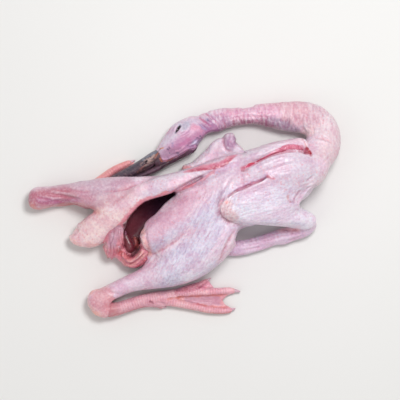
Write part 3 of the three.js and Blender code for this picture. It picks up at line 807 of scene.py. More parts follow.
# Washes of colour: the colour, its share, how far it reaches and fades in mm, and the line. Some end with
# the heights that they stay between, and 1 or -1 for the side of the line that they keep to.
WASHES = (
    (ROSE, 0.85, 40, 34, [(140, 240), (175, 222), (205, 196), (225, 172)]),
    (PALE, 1.0, 40, 22, [(245, 188), (280, 172), (312, 165)]),
    ((207, 199, 223), 0.95, 34, 14, [(232, 216), (205, 240), (168, 266)]),
    ((234, 226, 243), 0.8, 12, 9, [(164, 268), (182, 262)]),
    ((240, 232, 246), 0.95, 10, 8, [(186, 278), (200, 266), (212, 256)]),
    # Painted light over the shade between the thigh and the foot
    ((238, 194, 208), 0.8, 6, 5, [(176, 291), (192, 284)]),
    ((238, 216, 232), 0.8, 5, 4, [(143, 269), (152, 262)]),
    # Painted light over the shade of the crease between belly and thigh
    ((242, 214, 228), 0.8, 8, 7, [(148, 266), (160, 254), (174, 242), (190, 230)]),
    ((246, 182, 186), 0.7, 4.4, 4, [(148, 246), (151, 255)]),
    # A painted highlight down the thigh
    ((222, 216, 234), 0.7, 10, 8, [(216, 212), (202, 243), (190, 262)]),
    ((230, 206, 222), 0.9, 17, 10, [(150, 276), (130, 283), (112, 292)]),
    ((226, 172, 178), 0.95, 14.5, 8, [(103, 295), (98, 304)]),
    # The peach rim of the hock, painted lighter than its own colour where it curves away from the light
    ((255, 178, 154), 0.8, 5.6, 5.4, [(94, 287), (85, 297), (87, 309), (100, 318)]),
    ((232, 170, 174), 0.95, 8, 6, [(111, 301), (108, 310), (105, 318)]),
    ((246, 222, 234), 0.9, 10, 7, [(246, 223), (234, 238), (222, 257)]),
    ((238, 210, 228), 0.85, 6, 5, [(226, 230), (219.6, 242), (210, 257)]),
    ((210, 140, 162), 0.7, 1.8, 1.6, [(238, 223), (228, 240), (219.5, 259)]),
    ((220, 204, 218), 0.9, 18, 9, [(140, 198), (170, 185), (210, 172), (240, 156)]),
    ((240, 214, 226), 0.7, 8, 7, [(182, 190), (200, 190)]),
    ((244, 222, 230), 0.9, 8, 6, [(114, 195), (128, 191), (144, 187)]),
    ((252, 234, 242), 0.95, 6, 5, [(172, 185), (190, 178.6)]),
    (CREAM, 0.95, 26, 14, [(74, 238), (98, 226), (124, 210)]),
    ((238, 214, 222), 0.8, 8, 7, [(112, 208), (128, 203), (142, 199)]),
    # The tail's peach edge, painted lighter where it curves away from the light
    ((255, 216, 206), 0.85, 6, 5, [(67, 239), (78, 246)]),
    ((234, 176, 174), 0.8, 6.4, 6, [(89, 245), (102, 247)]),
    ((204, 172, 188), 0.9, 14, 6, [(62, 190), (90, 188), (124, 184)]),
    ((220, 186, 194), 0.8, 9, 6, [(92, 202), (112, 198), (130, 189)]),
    ((190, 156, 172), 0.6, 5, 5, [(84, 194), (100, 193.4), (116, 191)]),
    ((214, 156, 172), 0.7, 15, 12, [(64, 197), (84, 198)]),
    ((184, 104, 121), 0.9, 14, 9, [(34, 199), (56, 197), (68, 198)]),
    ((184, 120, 160), 0.6, 5, 4.6, [(40, 200), (62, 202), (78, 201)]),
    ((214, 126, 116), 0.75, 5, 3.5, [(30, 205), (38, 211), (52, 209), (70, 205)]),
    (CORAL, 0.55, 5, 4, [(76, 204), (90, 208), (98, 212)]),
    (WING, 1.0, 26, 10, [(300, 208), (262, 202), (236, 209)]),
    ((242, 236, 249), 0.9, 15, 6, [(240, 213), (300, 217), (312, 222)]),
    ((208, 192, 210), 0.5, 9, 8, [(236, 203), (258, 203)]),
    ((222, 180, 184), 0.95, 9, 5, [(225, 204), (226, 212), (231, 217)]),
    ((240, 222, 238), 0.95, 8, 4, [(297, 198), (309, 190.6)]),
    ((200, 148, 182), 0.75, 1.5, 1.3, [(292, 200.4), (295.4, 193.8), (302, 188.6), (310, 186.4),
     (318, 182)]),
    ((216, 172, 198), 0.5, 1.4, 1.2, [(296, 192.6), (303, 190.6), (309, 190)]),
    ((222, 122, 110), 0.75, 1.4, 1.2, [(312.4, 190.6), (311.6, 192.6), (310.4, 194)], (42, 90)),
    ((222, 122, 110), 0.7, 1.2, 1.0, [(307.6, 195), (306.2, 196.6)], (42, 90)),
    ((244, 224, 232), 0.8, 1.3, 1.1, [(315, 190), (309, 197), (302.5, 202.6)]),
    ((228, 156, 150), 0.55, 1.5, 1.4, [(286.6, 196), (286.8, 199.6), (289, 201.6)]),
    ((222, 140, 148), 0.7, 1.2, 1.1, [(309, 179.2), (311.6, 178.6), (313.6, 177.2)]),
    ((227, 202, 209), 1.0, 27, 16, [(322, 172), (337, 150), (330, 122), (308, 108)]),
    # Painted light on the shoulder, over its shading
    ((248, 236, 244), 0.85, 12, 9, [(306, 179), (320, 166)]),
    ((214, 180, 190), 0.6, 9, 8, [(294, 107), (314, 110)]),
    ((224, 170, 182), 0.9, 17, 8, [(296, 112), (265, 112), (240, 113)]),
    (PINK, 0.9, 14, 6, [(270, 116), (240, 117), (216, 124)]),
    ((206, 152, 168), 0.75, 9, 8, [(290, 117), (304, 118), (318, 119)]),
    ((134, 72, 102), 0.9, 7.6, 6, [(262, 122), (276, 123), (288, 125)]),
    ((255, 230, 228), 0.95, 7, 5, [(301, 134), (310, 131)]),
    ((246, 216, 228), 0.7, 3.4, 3, [(286, 141.6), (300, 141), (308, 146)]),
    ((152, 68, 104), 0.9, 7, 5.6, [(270, 126), (240, 123.6), (222, 128.6), (204, 141)]),
    ((176, 158, 186), 0.5, 6, 4, [(272, 120), (284, 125), (298, 132)]),
    ((212, 178, 206), 0.7, 4.5, 3.5, [(216, 172), (226, 168), (237, 164)]),
    ((212, 126, 150), 0.95, 3.6, 1.6, [(303, 150), (297, 148), (288, 148.6), (277, 152), (266, 157),
     (247, 167)]),
    # A dark red line along the lower edge of the furrow: red flesh in a painted shadow under the breast
    # skin
    (CRIMSON_SHADOW, 0.8, 1.3, 1.0, [(303, 152.6), (288, 152), (272, 155), (255, 163)]),
    ((205, 60, 96), 0.9, 2.6, 1.4, [(242, 169), (250, 165.4)]),
    ((150, 30, 62), 0.85, 1.2, 1.0, [(240.6, 171.4), (243.6, 171.6), (247.4, 169.8), (251, 166.4)]),
    ((226, 134, 130), 0.7, 1.1, 0.9, [(301.6, 139.8), (303.8, 143.6), (305.4, 147.6)]),
    ((222, 150, 160), 0.6, 1.4, 1.2, [(270, 161.4), (278, 158.6), (285, 156.6)]),
    ((214, 160, 186), 0.6, 1.5, 1.4, [(254, 166.4), (264, 163.6), (274, 160)]),
    ((208, 140, 172), 0.6, 1.1, 1.0, [(289, 161), (296.5, 158.2)]),
    # Painted shade on the lip of the furrow
    ((206, 184, 210), 0.6, 1.6, 1.4, [(246.6, 158.8), (251, 156.4), (254.6, 153.6)]),
    ((212, 200, 214), 0.8, 26, 16, [(262, 168), (300, 170)]),
    ((212, 104, 124), 0.6, 2.0, 1.6, [(214, 172), (200, 181), (186, 188), (173, 194)]),
    # Painted shade on the breast above the edge of the wing
    ((186, 142, 182), 0.75, 5, 4.6, ARMPIT, (-5, 90), -1),
    ((210, 176, 198), 0.6, 7, 6, [(246, 191), (262, 184)]),
    # A painted highlight along the edge of the wing
    ((250, 236, 244), 0.6, 2, 1.8, [(231, 196.6), (238, 192.6), (245, 189.8), (257, 184.4), (264, 181)]),
    # A dark line of painted shade in the crease
    ((110, 46, 86), 0.95, 1.5, 0.9, ARMPIT),
    ((206, 100, 120), 0.7, 2.2, 1.8, [(267, 177.4), (271, 179)]),
    ((232, 52, 40), 0.85, 1.6, 0.8, [(225.2, 202), (226, 202.4)]),
    ((176, 176, 204), 0.35, 3, 2.5, [(262, 221), (275, 222)]),
    ((170, 172, 204), 0.35, 2.4, 2.2, [(292, 222), (304, 225)]),
    ((190, 190, 216), 0.4, 3, 2.6, [(236, 205), (248, 209)]),
    ((238, 178, 170), 0.85, 3.8, 3, [(143.6, 230), (143.6, 238), (146, 246), (150, 255)]),
    ((208, 134, 146), 0.5, 1.6, 1.4, [(150, 256), (163, 249), (176, 241)]),
    ((188, 72, 92), 0.8, 1.2, 0.8, [(122, 224.4), (128, 217.4), (134, 210.8), (140, 204.4)]),
    ((206, 96, 92), 0.7, 1.6, 1.3, [(157, 195.8), (162, 193.4), (169, 191.6)]),
    # Painted shade on the skin beside the right edge of the cut
    ((206, 150, 172), 0.7, 1.3, 1.1, [(148.4, 222), (147.8, 232), (150, 244)]),
)
# Washes between two heights: the far wing, the hand of the near wing, and painted shade in hollows, on the
# red band under the far wing, beside the elbow and under the far leg. Near the wing's bend the hand is
# painted lighter, over the lamp's shadow.
LOW_WASHES = (
    ((250, 234, 245), 1.0, 18, 4, [(236, 151), (210, 156), (185, 165)], (-5, 34)),
    ((164, 116, 154), 0.9, 10, 5, [(230, 142)], (-5, 45)),
    ((196, 160, 188), 0.7, 4, 3, [(231, 140)], (-5, 45)),
    ((214, 124, 148), 0.95, 8, 4, [(190, 172.5), (203, 171), (217, 169), (226, 165.4),
     (232, 160)], (59, 80), -1),
    ((176, 52, 84), 0.85, 3.4, 2.4, [(192, 172.4), (203, 171), (217, 169), (226, 165.4),
     (232, 160)], (59, 80), -1),
    ((230, 138, 138), 0.85, 5, 4, [(183, 168.6), (190, 169)], (-5, 27)),
    ((224, 198, 220), 0.95, 13, 4, [(308, 233), (270, 243), (228, 250)], (-5, 24)),
    ((208, 172, 200), 0.7, 9, 7, [(238, 250), (228, 251)], (-5, 24)),
    ((92, 70, 92), 0.8, 1.2, 0.9, [(223.4, 250), (225, 255.6)], (-5, 24)),
    ((92, 70, 92), 0.8, 1.1, 0.9, [(226.4, 250.4), (227.6, 255)], (-5, 24)),
    ((120, 96, 120), 0.6, 1.0, 0.8, [(230, 251.6), (232, 254)], (-5, 24)),
    ((255, 204, 206), 0.75, 4.6, 4, [(280, 229), (298, 230)], (-5, 30)),
    ((160, 118, 150), 0.8, 7, 6.4, [(224, 192), (219.5, 203), (221, 214)], (-5, 84), 1),
    (DARK_SHADE, 0.8, 8, 6, [(104, 184), (125, 181), (150, 177)], (-5, 20)),
)
# The long cut in the belly: its outline, its upper rim, the wall under that rim and the cavity's middle
BELLY_CUT = [
    (178.6, 192.5), (164.5, 197), (142, 203.4), (134, 211.5), (127.5, 219.7), (124.4, 231), (125.6, 246.5),
    (132.7, 255), (139.5, 246), (140.4, 232), (144, 224.4), (149, 219), (155.4, 214.4), (158.6, 210.6),
    (163.4, 205), (170.4, 199),
]
CUT_RIM = [(192, 185), (178.6, 190.6), (164.5, 195), (142, 201), (133, 209.4), (125.6, 218), (120, 225.4)]
CUT_WALL = [(138, 206.6), (150, 201), (164, 197), (174, 194)]
CAVITY_AXIS = [(212, 200), (180, 211), (150, 226), (130, 247)]
# How far the cavity reaches from its middle, its lowest and highest levels, and the levels up to which
# its walls, its floor and the wall under the rim are dark, in mm
CAVITY_REACH = 16
CAVITY_HEIGHTS = (3, 62)
WALL_TOP, FLOOR_TOP, FAR_WALL_TOP = 50, 30, 57
# Where the cavity is lit from, mm across, and over how many mm it darkens from there
LIT_END, DARKENS = 128, 34
RIM_WASHES = (
    ((232, 142, 156), 0.9, 2.8, 1.8, CUT_RIM[:4], (52, 90)),
    ((232, 142, 156), 0.9, 2.8, 1.8, CUT_RIM[3:], (34, 90)),
    ((120, 50, 66), 0.95, 2.6, 1.2, [(124.2, 225), (124, 232), (127, 250), (133, 256.4), (138.6, 250),
     (140, 243)]),
)


def cavity(clay):
    """A mask over the walls and the floor of the cavity, and over all that shows through the cut."""
    near, *_ = clay.beside(CAVITY_AXIS, CAVITY_REACH, CAVITY_HEIGHTS)
    path = curve(CAVITY_AXIS)
    place = np.stack((clay.across[near], clay.down[near]), 1)
    middle = path[np.linalg.norm(place[:, None] - path[None], axis=2).argmin(1)]
    inward = (middle - place) * np.array((1, -1))
    facing = (inward * clay.normals[near, :2]).sum(1) / (np.linalg.norm(inward, axis=1) + 1)
    lining = np.zeros(clay.count)
    lining[near] = np.maximum(
        ease(3 * facing) * ease((WALL_TOP - clay.up[near]) / 6),
        ease(3 * clay.normals[near, 2]) * ease((FLOOR_TOP - clay.up[near]) / 6),
    )
    far_wall = clay.spread(4, 3, CUT_WALL) * ease((FAR_WALL_TOP - clay.up) / 4)
    return np.maximum.reduce([ease(0.5 + clay.inside(BELLY_CUT) / 1.6), lining, far_wall])


def paint_skin(clay):
    """Colours the skin, wash by wash, and marks where it is wet and how it is lined."""
    clay.paint(PALE, WASHES + NAPE_WASHES + LOW_WASHES)
    # The hole at the end of the furrow: deep red flesh, nearly black where painted shade lies in it
    clay.flood((168, 10, 40), 0.97, 1.0, HOLE)
    clay.wash((56, 8, 26), 0.9, 1.5, 1.2, [(304.4, 153), (305.6, 151.6), (307.2, 153.6)])
    # The cavity is painted the wine red of its flesh, darkened with painted shade away from its lit end;
    # the wall under the rim takes the same painted shade
    hollow = cavity(clay)
    deep = ease((clay.across - LIT_END) / DARKENS)[:, None]
    clay.colour += hollow[:, None] * (tone(*WINE) + deep * (tone(*DARK_SHADE) - tone(*WINE)) - clay.colour)
    each(clay.wash, RIM_WASHES)
    clay.shade_folds((206, 128, 150), 0.55, (240, 226, 236), 0.4)
    return clay.finish(
        pores=(1 - hollow) * (0.25 + 0.75 * np.maximum(
            clay.spread(26, 14, [(90, 232), (130, 208), (165, 186), (215, 178), (262, 178)]),
            clay.spread(24, 14, [(150, 236), (178, 212), (325, 172), (335, 140), (300, 112)]),
        )),
        wet=np.maximum(hollow, clay.spread(5, 3, [(242, 169), (250, 165)])),
        wing_lines=0.7 * clay.spread(26, 12, [(300, 208), (262, 206), (240, 210)]),
        thigh_lines=0.95 * clay.spread(34, 14, [(218, 216), (200, 240), (172, 262)]),
        neck_lines=clay.spread(22, 10, [(320, 120), (270, 115), (215, 122)]),
    )


skin = copy_of_bird("skin")
for outline, high in SKIN_CUTS:
    cut(skin, slab(outline, high=high))
skin = joined("skin", [skin] + [limb(stations) for stations in PLUGS])
skin_clay = Clay(skin, SKIN_NET)
soften_limbs(skin_clay)
each(skin_clay.pull, PULLS)
fold_skin(skin_clay)
paint_skin(skin_clay)
only(skin)
thin = skin.modifiers.new("thin", "DECIMATE")
thin.ratio = min(1.0, SKIN_FACES / (2 * len(skin.data.polygons)))
bpy.ops.object.modifier_apply(modifier=thin.name)
bpy.ops.object.shade_smooth()

# Mottling that all the soft surfaces share: larger blotches and fine grains, a little redder
mottling = bpy.data.node_groups.new("mottling", "ShaderNodeTree")
mottling.interface.new_socket("Colour", in_out="INPUT", socket_type="NodeSocketColor")
mottling.interface.new_socket("Colour", in_out="OUTPUT", socket_type="NodeSocketColor")
inner = Nodes(mottling)
blotches = inner.between(inner.noise(60, 4), 0.44, 0.62, 0, 0.7)
grains = inner.between(inner.noise(380, 4), 0.4, 0.62, 0, 0.55)
ground = inner.node("NodeGroupInput").outputs[0]
ground = inner.mix(blotches, ground, (242, 216, 228), "MULTIPLY")
ground = inner.mix(grains, ground, (234, 219, 230), "MULTIPLY")
inner.node("NodeGroupOutput", {0: ground})


def mottled(paint):
    """The painted colour with the shared mottling."""
    group = paint.tree.nodes.new("ShaderNodeGroup")
    group.node_tree = mottling
    paint.tree.links.new(paint.tint(), group.inputs[0])
    return group.outputs[0]


plucked = Paint("plucked_skin", 0.4)
dry = plucked.minus(1.0, plucked.mask("wet"))
some = plucked.times(plucked.between(plucked.noise(70, 2), 0.4, 0.6, 0.15, 0.5), plucked.mask("pores"))
dots = plucked.between(plucked.cells(270), 0.4, 0.1)
dots = plucked.times(plucked.times(dots, some), dry)
# Pale flecks on the dry skin: painted glints
flecks = plucked.times(plucked.between(plucked.noise(460, 3), 0.5, 0.7, 0, 0.2), dry)
colour = plucked.mix(flecks, mottled(plucked), (250, 240, 247))
colour = plucked.mix(dots, colour, (220, 134, 146))
sheen = plucked.between(plucked.noise(160, 3), 0.3, 0.7, 0.27, 0.48)
plucked.feed("Roughness", plucked.times(sheen, plucked.between(plucked.mask("wet"), 0, 1, 1.0, 0.5)))
height = plucked.times(plucked.noise(520, 4, 0.6), 0.5)
for name, turn, stretch in (
    ("wing_lines", -19, (130, 480, 240)), ("thigh_lines", -64, (140, 460, 240)),
    ("neck_lines", 0, (420, 120, 150)),
):
    grain = plucked.noise(1.0, 3, 0.4, plucked.place(stretch, turn))
    ridges = plucked.times(plucked.between(grain, 0.36, 0.64), plucked.mask(name))
    grooves = plucked.times(plucked.between(grain, 0.5, 0.32), plucked.mask(name))
    height = plucked.plus(height, plucked.times(ridges, 0.6))
    # The ridges of the lines get painted highlights and the grooves a rosy painted shade
    colour = plucked.mix(plucked.times(ridges, 0.26), colour, (250, 245, 252))
    colour = plucked.mix(plucked.times(grooves, 0.26), colour, (200, 150, 180))
plucked.feed("Base Color", colour)
plucked.relief(plucked.plus(height, plucked.times(dots, -0.4)), 0.7, 0.9)
plucked.soft(0.15, 2, 0.2)
skin.data.materials.append(plucked.material)
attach(skin, "root")
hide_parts("duck")


# The head
# The same skin drawn over the skull, thinner, bluer round the eye, and dark under the throat, where its own
# colour is deepened by painted shade. It is worked on a finer net than the body and goes on under the
# wrinkled skin of the nape.
HEAD_NET = 0.55
# The outline of the head, the line where it goes under the nape, and the throat, dark with its own colour
# and painted shade
HEAD_BLOCK = [
    (216, 96), (221, 110), (231, 130), (224, 134), (218, 137), (210, 140), (202, 147.6), (194.6, 154.6),
    (185, 160.6), (178, 165.5), (170, 169), (163, 172.5), (156, 174), (152, 160), (149, 150), (140, 130),
    (150, 96),
]
NAPE = [(204, 104), (208, 112), (212, 122), (217.5, 134)]
THROAT = [
    (157, 165.4), (164, 163), (169, 160.2), (176, 157), (180.5, 155.2), (186, 151.6), (190, 150),
    (195.4, 149.4), (199, 147.4), (206, 142), (212, 140), (206, 152), (197, 160), (180, 168), (158, 177),
]
# Folds with the share of the rim beside each, and washes as on the skin
HEAD_FOLDS = (
    (2.0, 1.2, [(175.2, 133), (177.6, 129.4), (180.4, 125.2)], 0.6),
    (0.6, 0.9, [(173, 135), (178, 133.8), (186, 130.8)], 0.4),
    (0.35, 0.8, [(171.5, 131), (174, 125.5), (180, 121.8), (187, 123)], 0.5),
    (0.3, 0.9, [(190, 124), (189, 129), (184, 134), (176, 137.5)], 0.5),
    (1.3, 1.2, [(160, 163), (169, 160.9), (181, 155.4), (189, 150.8), (200, 148.8)], 0.5),
    (0.5, 1.0, [(160.2, 150), (159.6, 155), (161.8, 160)], 0.5),
    (0.5, 0.9, [(187, 145), (194, 142), (200, 137.5)], 0.4),
    (0.4, 0.8, [(189, 148), (195, 145), (199, 142)], 0.4),
    (0.9, 1.0, [(198, 116.6), (204, 121.6), (210.6, 127)], 0.6),
    (0.6, 0.9, [(193, 118), (200, 124), (207, 130)], 0.6),
    (0.9, 1.0, [(205.6, 113.4), (212, 119), (217.6, 124)], 0.6),
    (0.5, 0.9, [(201, 113), (207, 118), (213, 123.6)], 0.6),
    (0.2, 1.0, [(172, 142), (181, 140), (190, 134)], 0.3),
    (0.2, 1.0, [(168, 146), (178, 146), (186, 141)], 0.3),
)
HEAD_WASHES = (
    ((214, 196, 214), 0.97, 10, 5, [(204, 114), (192, 120), (180, 126), (168, 136), (160, 146)]),
    ((234, 214, 224), 0.8, 3.4, 3, [(184, 118.6), (192, 116), (204, 115)]),
    ((190, 186, 202), 0.85, 5, 3.5, [(187.4, 124.6), (182.6, 128)]),
    ((214, 208, 218), 0.7, 2.4, 2.2, [(176, 135), (170, 138.6), (164, 145)]),
    ((228, 158, 172), 0.7, 1.7, 1.5, [(151, 154), (157, 148), (160.4, 142), (164, 135), (170, 128.4)]),
    ((192, 140, 174), 0.95, 8.5, 5, [(203, 131), (194, 136), (184, 143), (179, 149)]),
    ((222, 154, 180), 0.8, 5, 4.4, [(193, 127), (201, 129)]),
    ((196, 104, 152), 0.5, 3.8, 3.6, [(188, 140), (182, 144), (178, 149)]),
    ((174, 138, 164), 0.9, 6.5, 4.6, [(165, 154), (172, 152.6), (180, 151.5)]),
    ((162, 152, 188), 0.6, 2, 1.8, [(172.4, 143.4), (172.8, 146)]),
    ((166, 152, 186), 0.75, 4.2, 3.6, [(192, 144.6), (195, 142), (199.6, 140.4)]),
    ((170, 138, 176), 0.6, 3, 2.8, [(188, 146.6), (194, 147.6)]),
    ((206, 200, 224), 0.7, 1.5, 1.4, [(192.4, 143.4), (195, 141.6), (197, 141)]),
    ((206, 200, 224), 0.6, 1.3, 1.2, [(195, 144), (197.4, 143)]),
    ((104, 88, 120), 0.7, 1.3, 1.2, [(193.6, 146.6), (196.4, 145.2)]),
    ((104, 90, 122), 0.6, 1.0, 0.9, [(187.6, 145.4), (190.6, 144), (193.6, 142.4)]),
    ((136, 92, 134), 0.7, 3.4, 3, [(197, 149), (204, 143.6), (210, 137), (215, 133)]),
    ((232, 216, 228), 0.7, 1.2, 1.1, [(174, 134.4), (179, 133), (185, 130.6)]),
    ((236, 190, 214), 0.6, 1.2, 1.2, [(175.6, 150.6), (180, 149.6), (184, 146.6)]),
    ((236, 190, 214), 0.5, 1.1, 1.1, [(186, 134.6), (180.4, 138)]),
    ((150, 140, 176), 0.5, 1.4, 1.3, [(203.6, 132.6), (204.8, 135)]),
)
# The corner of the mouth, and the lids round the eye
JAW_WASHES = (
    ((214, 146, 84), 0.9, 1.3, 1.2, [(161, 148.6), (163, 147.8)]),
    ((150, 88, 62), 0.85, 1.6, 1.5, [(157.6, 151.6), (160, 149.4)]),
    ((186, 104, 64), 0.85, 2.2, 2.0, [(158.4, 152.4), (158.8, 156.4)]),
    ((188, 104, 72), 0.8, 1.7, 1.6, [(159.4, 157.4), (161.6, 160.8)]),
    ((70, 44, 44), 0.8, 1.0, 0.9, [(157.4, 154.4), (159, 153.4)]),
    ((70, 44, 44), 0.7, 1.0, 0.9, [(158, 158), (159.6, 156.4)]),
    ((212, 124, 80), 0.85, 1.4, 1.4, [(162, 161.6), (166.4, 160.4)]),
    ((196, 112, 104), 0.6, 1.1, 1.1, [(167.4, 160.4), (173, 158), (177, 156.6)]),
    ((116, 116, 134), 0.9, 1.5, 1.0, [(151, 155.4), (155, 152.8), (158.6, 150.8)]),
    ((212, 202, 216), 0.8, 3.0, 1.8, [(175, 133), (177.6, 129), (180.6, 125)]),
    ((112, 108, 132), 0.9, 1.7, 1.0, [(175.4, 132.2), (177.6, 129), (180, 125.8)]),
    ((30, 20, 28), 0.9, 1.0, 0.6, [(176.6, 130.8), (177.8, 128.9), (179.4, 126.8)]),
)
# Where the head sinks under the root of the bill
BILL_ROOT = [
    (148, 152), (154, 150.6), (157, 151.2), (158.6, 153.4), (159.6, 156.4), (161, 159), (163.4, 161),
    (166.4, 161.8), (169, 161.4), (166, 174), (148, 174),
]
HEAD_PULLS = (
    ([(160, 142), (172, 127), (186, 119.6), (200, 115), (216, 110)], 13, (-0.3, -2.3)),
    ([(196, 152), (203, 144), (210, 138), (222, 132)], 8, (-2.6, -2.4)),
)
# Stubs of pin feathers left in the skin: the line of each
STUBS = (
    [(196.6, 137.6), (199, 139)], [(200.2, 136.2), (201.2, 137.6)], [(169.6, 153), (170.4, 153.8)],
    [(171.8, 155.2), (172.6, 155.6)], [(167, 148.8), (168, 149.6)], [(169, 147.2), (169.6, 148)],
    [(177, 153), (178.4, 153.2)], [(194.8, 136.2), (195.4, 136.6)], [(168.6, 158), (169, 158.6)],
    [(164.8, 151), (165.2, 151.6)], [(208, 119.6), (208.6, 120.4)],
)
# The slit between the lids: its place in the plan and its half width
EYE = ((175.8, 132.2, 0.4), (177.4, 129.8, 1.3), (179.8, 126.2, 1.0))
EYE_DEPTH = 2.4
EYE_SINK = 0.5

head = copy_of_bird("head")
cut(head, slab(HEAD_BLOCK), "INTERSECT")
clay = Clay(head, HEAD_NET)
clay.soften(1.0)
clay.soften(3.2, 1 - clay.spread(9, 4, [(165, 163.5), (185, 155), (199, 147)]) * 0.6)
each(clay.pull, HEAD_PULLS)
eye_stations = [
    (across, down, clay.top(across, down) - EYE_SINK - EYE_DEPTH, width, EYE_DEPTH)
    for across, down, width in EYE
]
each(clay.fold, HEAD_FOLDS)
for stub in STUBS:
    clay.fold(-0.3, 0.7, stub, rim=0)
clay.lift -= 1.5 * ease(0.5 + clay.inside(BILL_ROOT) / 1.2)
# The head ends a little proud at the nape, and past it goes on sunk under the skin of the neck
near, gap, side, *_ = clay.beside(NAPE, 22)
clay.lift[near] += np.where(side < 0, 0.3 - 2.1 * ease((gap - 2) / 6), 0.3 * ease(1 - gap / 5))
clay.swell()
clay.paint((206, 160, 190), HEAD_WASHES + NAPE_WASHES)
clay.shade_folds((184, 92, 134), 0.3, (228, 206, 222), 0.3, 0.3)
# The throat and the skin by the jaw: their own dark colour with painted shade laid over it
clay.flood((58, 28, 42), 0.97, 1.6, THROAT)
clay.wash((92, 56, 84), 0.8, 5, 4, [(190, 154), (200, 151)])
clay.wash((44, 22, 32), 0.6, 3, 2.6, [(158, 168), (170, 165)])
clay.flood((74, 54, 62), 0.95, 1.2, BILL_ROOT)
each(clay.wash, JAW_WASHES)
for stub in STUBS:
    clay.wash((84, 76, 104), 0.7, 1.1, 1.0, stub)
clay.finish()
plucked_head = Paint("head_skin", 0.4)
pores = plucked_head.between(plucked_head.cells(420), 0.3, 0.12, 0, 0.3)
plucked_head.feed("Base Color", plucked_head.mix(pores, mottled(plucked_head), (150, 112, 150)))
plucked_head.feed("Roughness", plucked_head.between(plucked_head.noise(200, 3), 0.3, 0.7, 0.28, 0.45))
height = plucked_head.plus(plucked_head.noise(700, 4, 0.8), plucked_head.times(pores, -1.0))
plucked_head.relief(height, 0.45, 0.8)
plucked_head.soft(0.12, 2, 0.2)
head.data.materials.append(plucked_head.material)
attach(head, "root")
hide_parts("duck")

# The eye
# The dark wet ball of the eye, as much of it as shows between the half closed lids. It stands in the
# slit that is pressed into the head.
eye = joined("eye", [limb(eye_stations, sides=20, pitch=0.4)])
bpy.ops.object.shade_smooth()
glossy_eye = Paint("glossy_eye", 0.08)
iris = glossy_eye.between(glossy_eye.noise(600, 2), 0.4, 0.6)
glossy_eye.feed("Base Color", glossy_eye.mix(iris, (22, 14, 18), (44, 28, 26)))
eye.data.materials.append(glossy_eye.material)
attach(eye, "root")
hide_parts("duck")

# The bill
# Dark horn over bone, an upper bill with its nostril that laps over the thinner lower bill. The tip
# goes in under the far leg.
BILL_NET = 0.45
# Stations along each half of the bill, from its root to its tip
UPPER_BILL = (
    (165, 152, 11.6, 5.8, 8.8), (160, 154.6, 12, 6.2, 9.4), (153, 158.4, 11.2, 6.6, 9.4),
    (146, 163, 10.6, 6.4, 9), (137, 168, 9.8, 5.9, 8.1), (126, 173.6, 9.2, 5.4, 7.4),
    (116, 178, 8.6, 4.6, 6.6), (108.6, 181.4, 8.2, 3.2, 4.8),
)
LOWER_BILL = (
    (171, 160.8, 11.4, 3.2, 8), (165, 163.8, 11.4, 3.4, 8), (156, 169, 10.6, 3.4, 7.8),
    (146, 173.4, 10, 3.2, 7.6), (134, 178.2, 9.2, 2.9, 6.8), (122, 182.6, 8.6, 2.6, 5.8),
    (112, 185.8, 8.2, 1.8, 4),
)
NOSTRIL = [(144.4, 162.6), (145.6, 161.7), (146.8, 160.9)]
BILL_FOLDS = (
    (1.8, 0.8, NOSTRIL, 0.5),
    (-0.4, 1.6, [(141, 165.5), (147, 158.5), (154, 155)], 0.2),
    (0.4, 0.9, [(141, 166), (148, 164), (155, 159.5)], 0.3),
    (0.4, 0.9, [(150, 171), (155, 164), (158, 158)], 0.3),
    (0.3, 0.8, [(112, 178.6), (116, 176), (118, 173)], 0.3),
    (0.3, 0.8, [(138, 171), (147, 168), (156, 163.5)], 0.3),
)
BILL_WASHES = (
    ((84, 74, 88), 0.9, 6, 5, [(150, 154), (138, 162), (120, 170)]),
    ((104, 76, 80), 0.8, 8, 6, [(156, 160), (148, 167), (142, 172)]),
    ((106, 92, 104), 0.7, 3, 3, [(108, 178), (113, 175.4)]),
    # A painted highlight along the top of the upper bill
    ((124, 128, 146), 0.8, 2.2, 1.8, [(143, 159.6), (150, 155), (158, 150.8)]),
    ((182, 156, 152), 0.8, 1.6, 1.2, [(140.6, 164.4), (143, 162), (146, 159.4), (149, 158)]),
    ((190, 160, 152), 0.8, 1.5, 1.1, [(147.6, 161.6), (150.6, 158.6), (154, 155.6)]),
    ((172, 140, 132), 0.7, 1.4, 1.1, [(145, 165.6), (149, 163), (153, 160.4)]),
    ((178, 104, 78), 0.7, 1.5, 1.2, [(154.4, 158.4), (157, 154.6), (158.6, 151.4)]),
    ((150, 92, 84), 0.7, 1.2, 1.0, [(137, 172), (141, 168.4), (144.6, 165.4)]),
    ((142, 108, 134), 0.6, 1.4, 1.2, [(146, 170.6), (151, 166.4), (157, 163.6)]),
    ((58, 40, 46), 0.8, 1.3, 1.0, [(150, 164.6), (154, 161), (158, 158.4)]),
    ((58, 40, 46), 0.7, 1.2, 1.0, [(143, 168.6), (148, 165.4)]),
    ((26, 18, 24), 0.95, 1.1, 0.6, NOSTRIL),
)
LOWER_BILL_WASHES = (
    ((104, 74, 90), 0.9, 8, 6, [(156, 168), (148, 173)]),
    ((66, 38, 52), 0.9, 7, 5, [(172, 160), (163, 164.6)]),
)
upper_bill = joined("upper_bill", [limb(UPPER_BILL, sides=40, pitch=0.8, fullness=2.2)])
clay = Clay(upper_bill, BILL_NET)
clay.soften(0.8)
each(clay.fold, BILL_FOLDS)
clay.swell()
clay.paint((80, 62, 76), BILL_WASHES)
clay.finish()
lower_bill = joined("lower_bill", [limb(LOWER_BILL, sides=32, pitch=0.8)])
clay = Clay(lower_bill, BILL_NET)
clay.paint((82, 60, 76), LOWER_BILL_WASHES)
clay.finish()
horn = Paint("bill_horn", 0.36)
streaks = horn.between(horn.noise(1.0, 4, 1.2, horn.place((90, 520, 300), 26)), 0.42, 0.66, 0, 0.55)
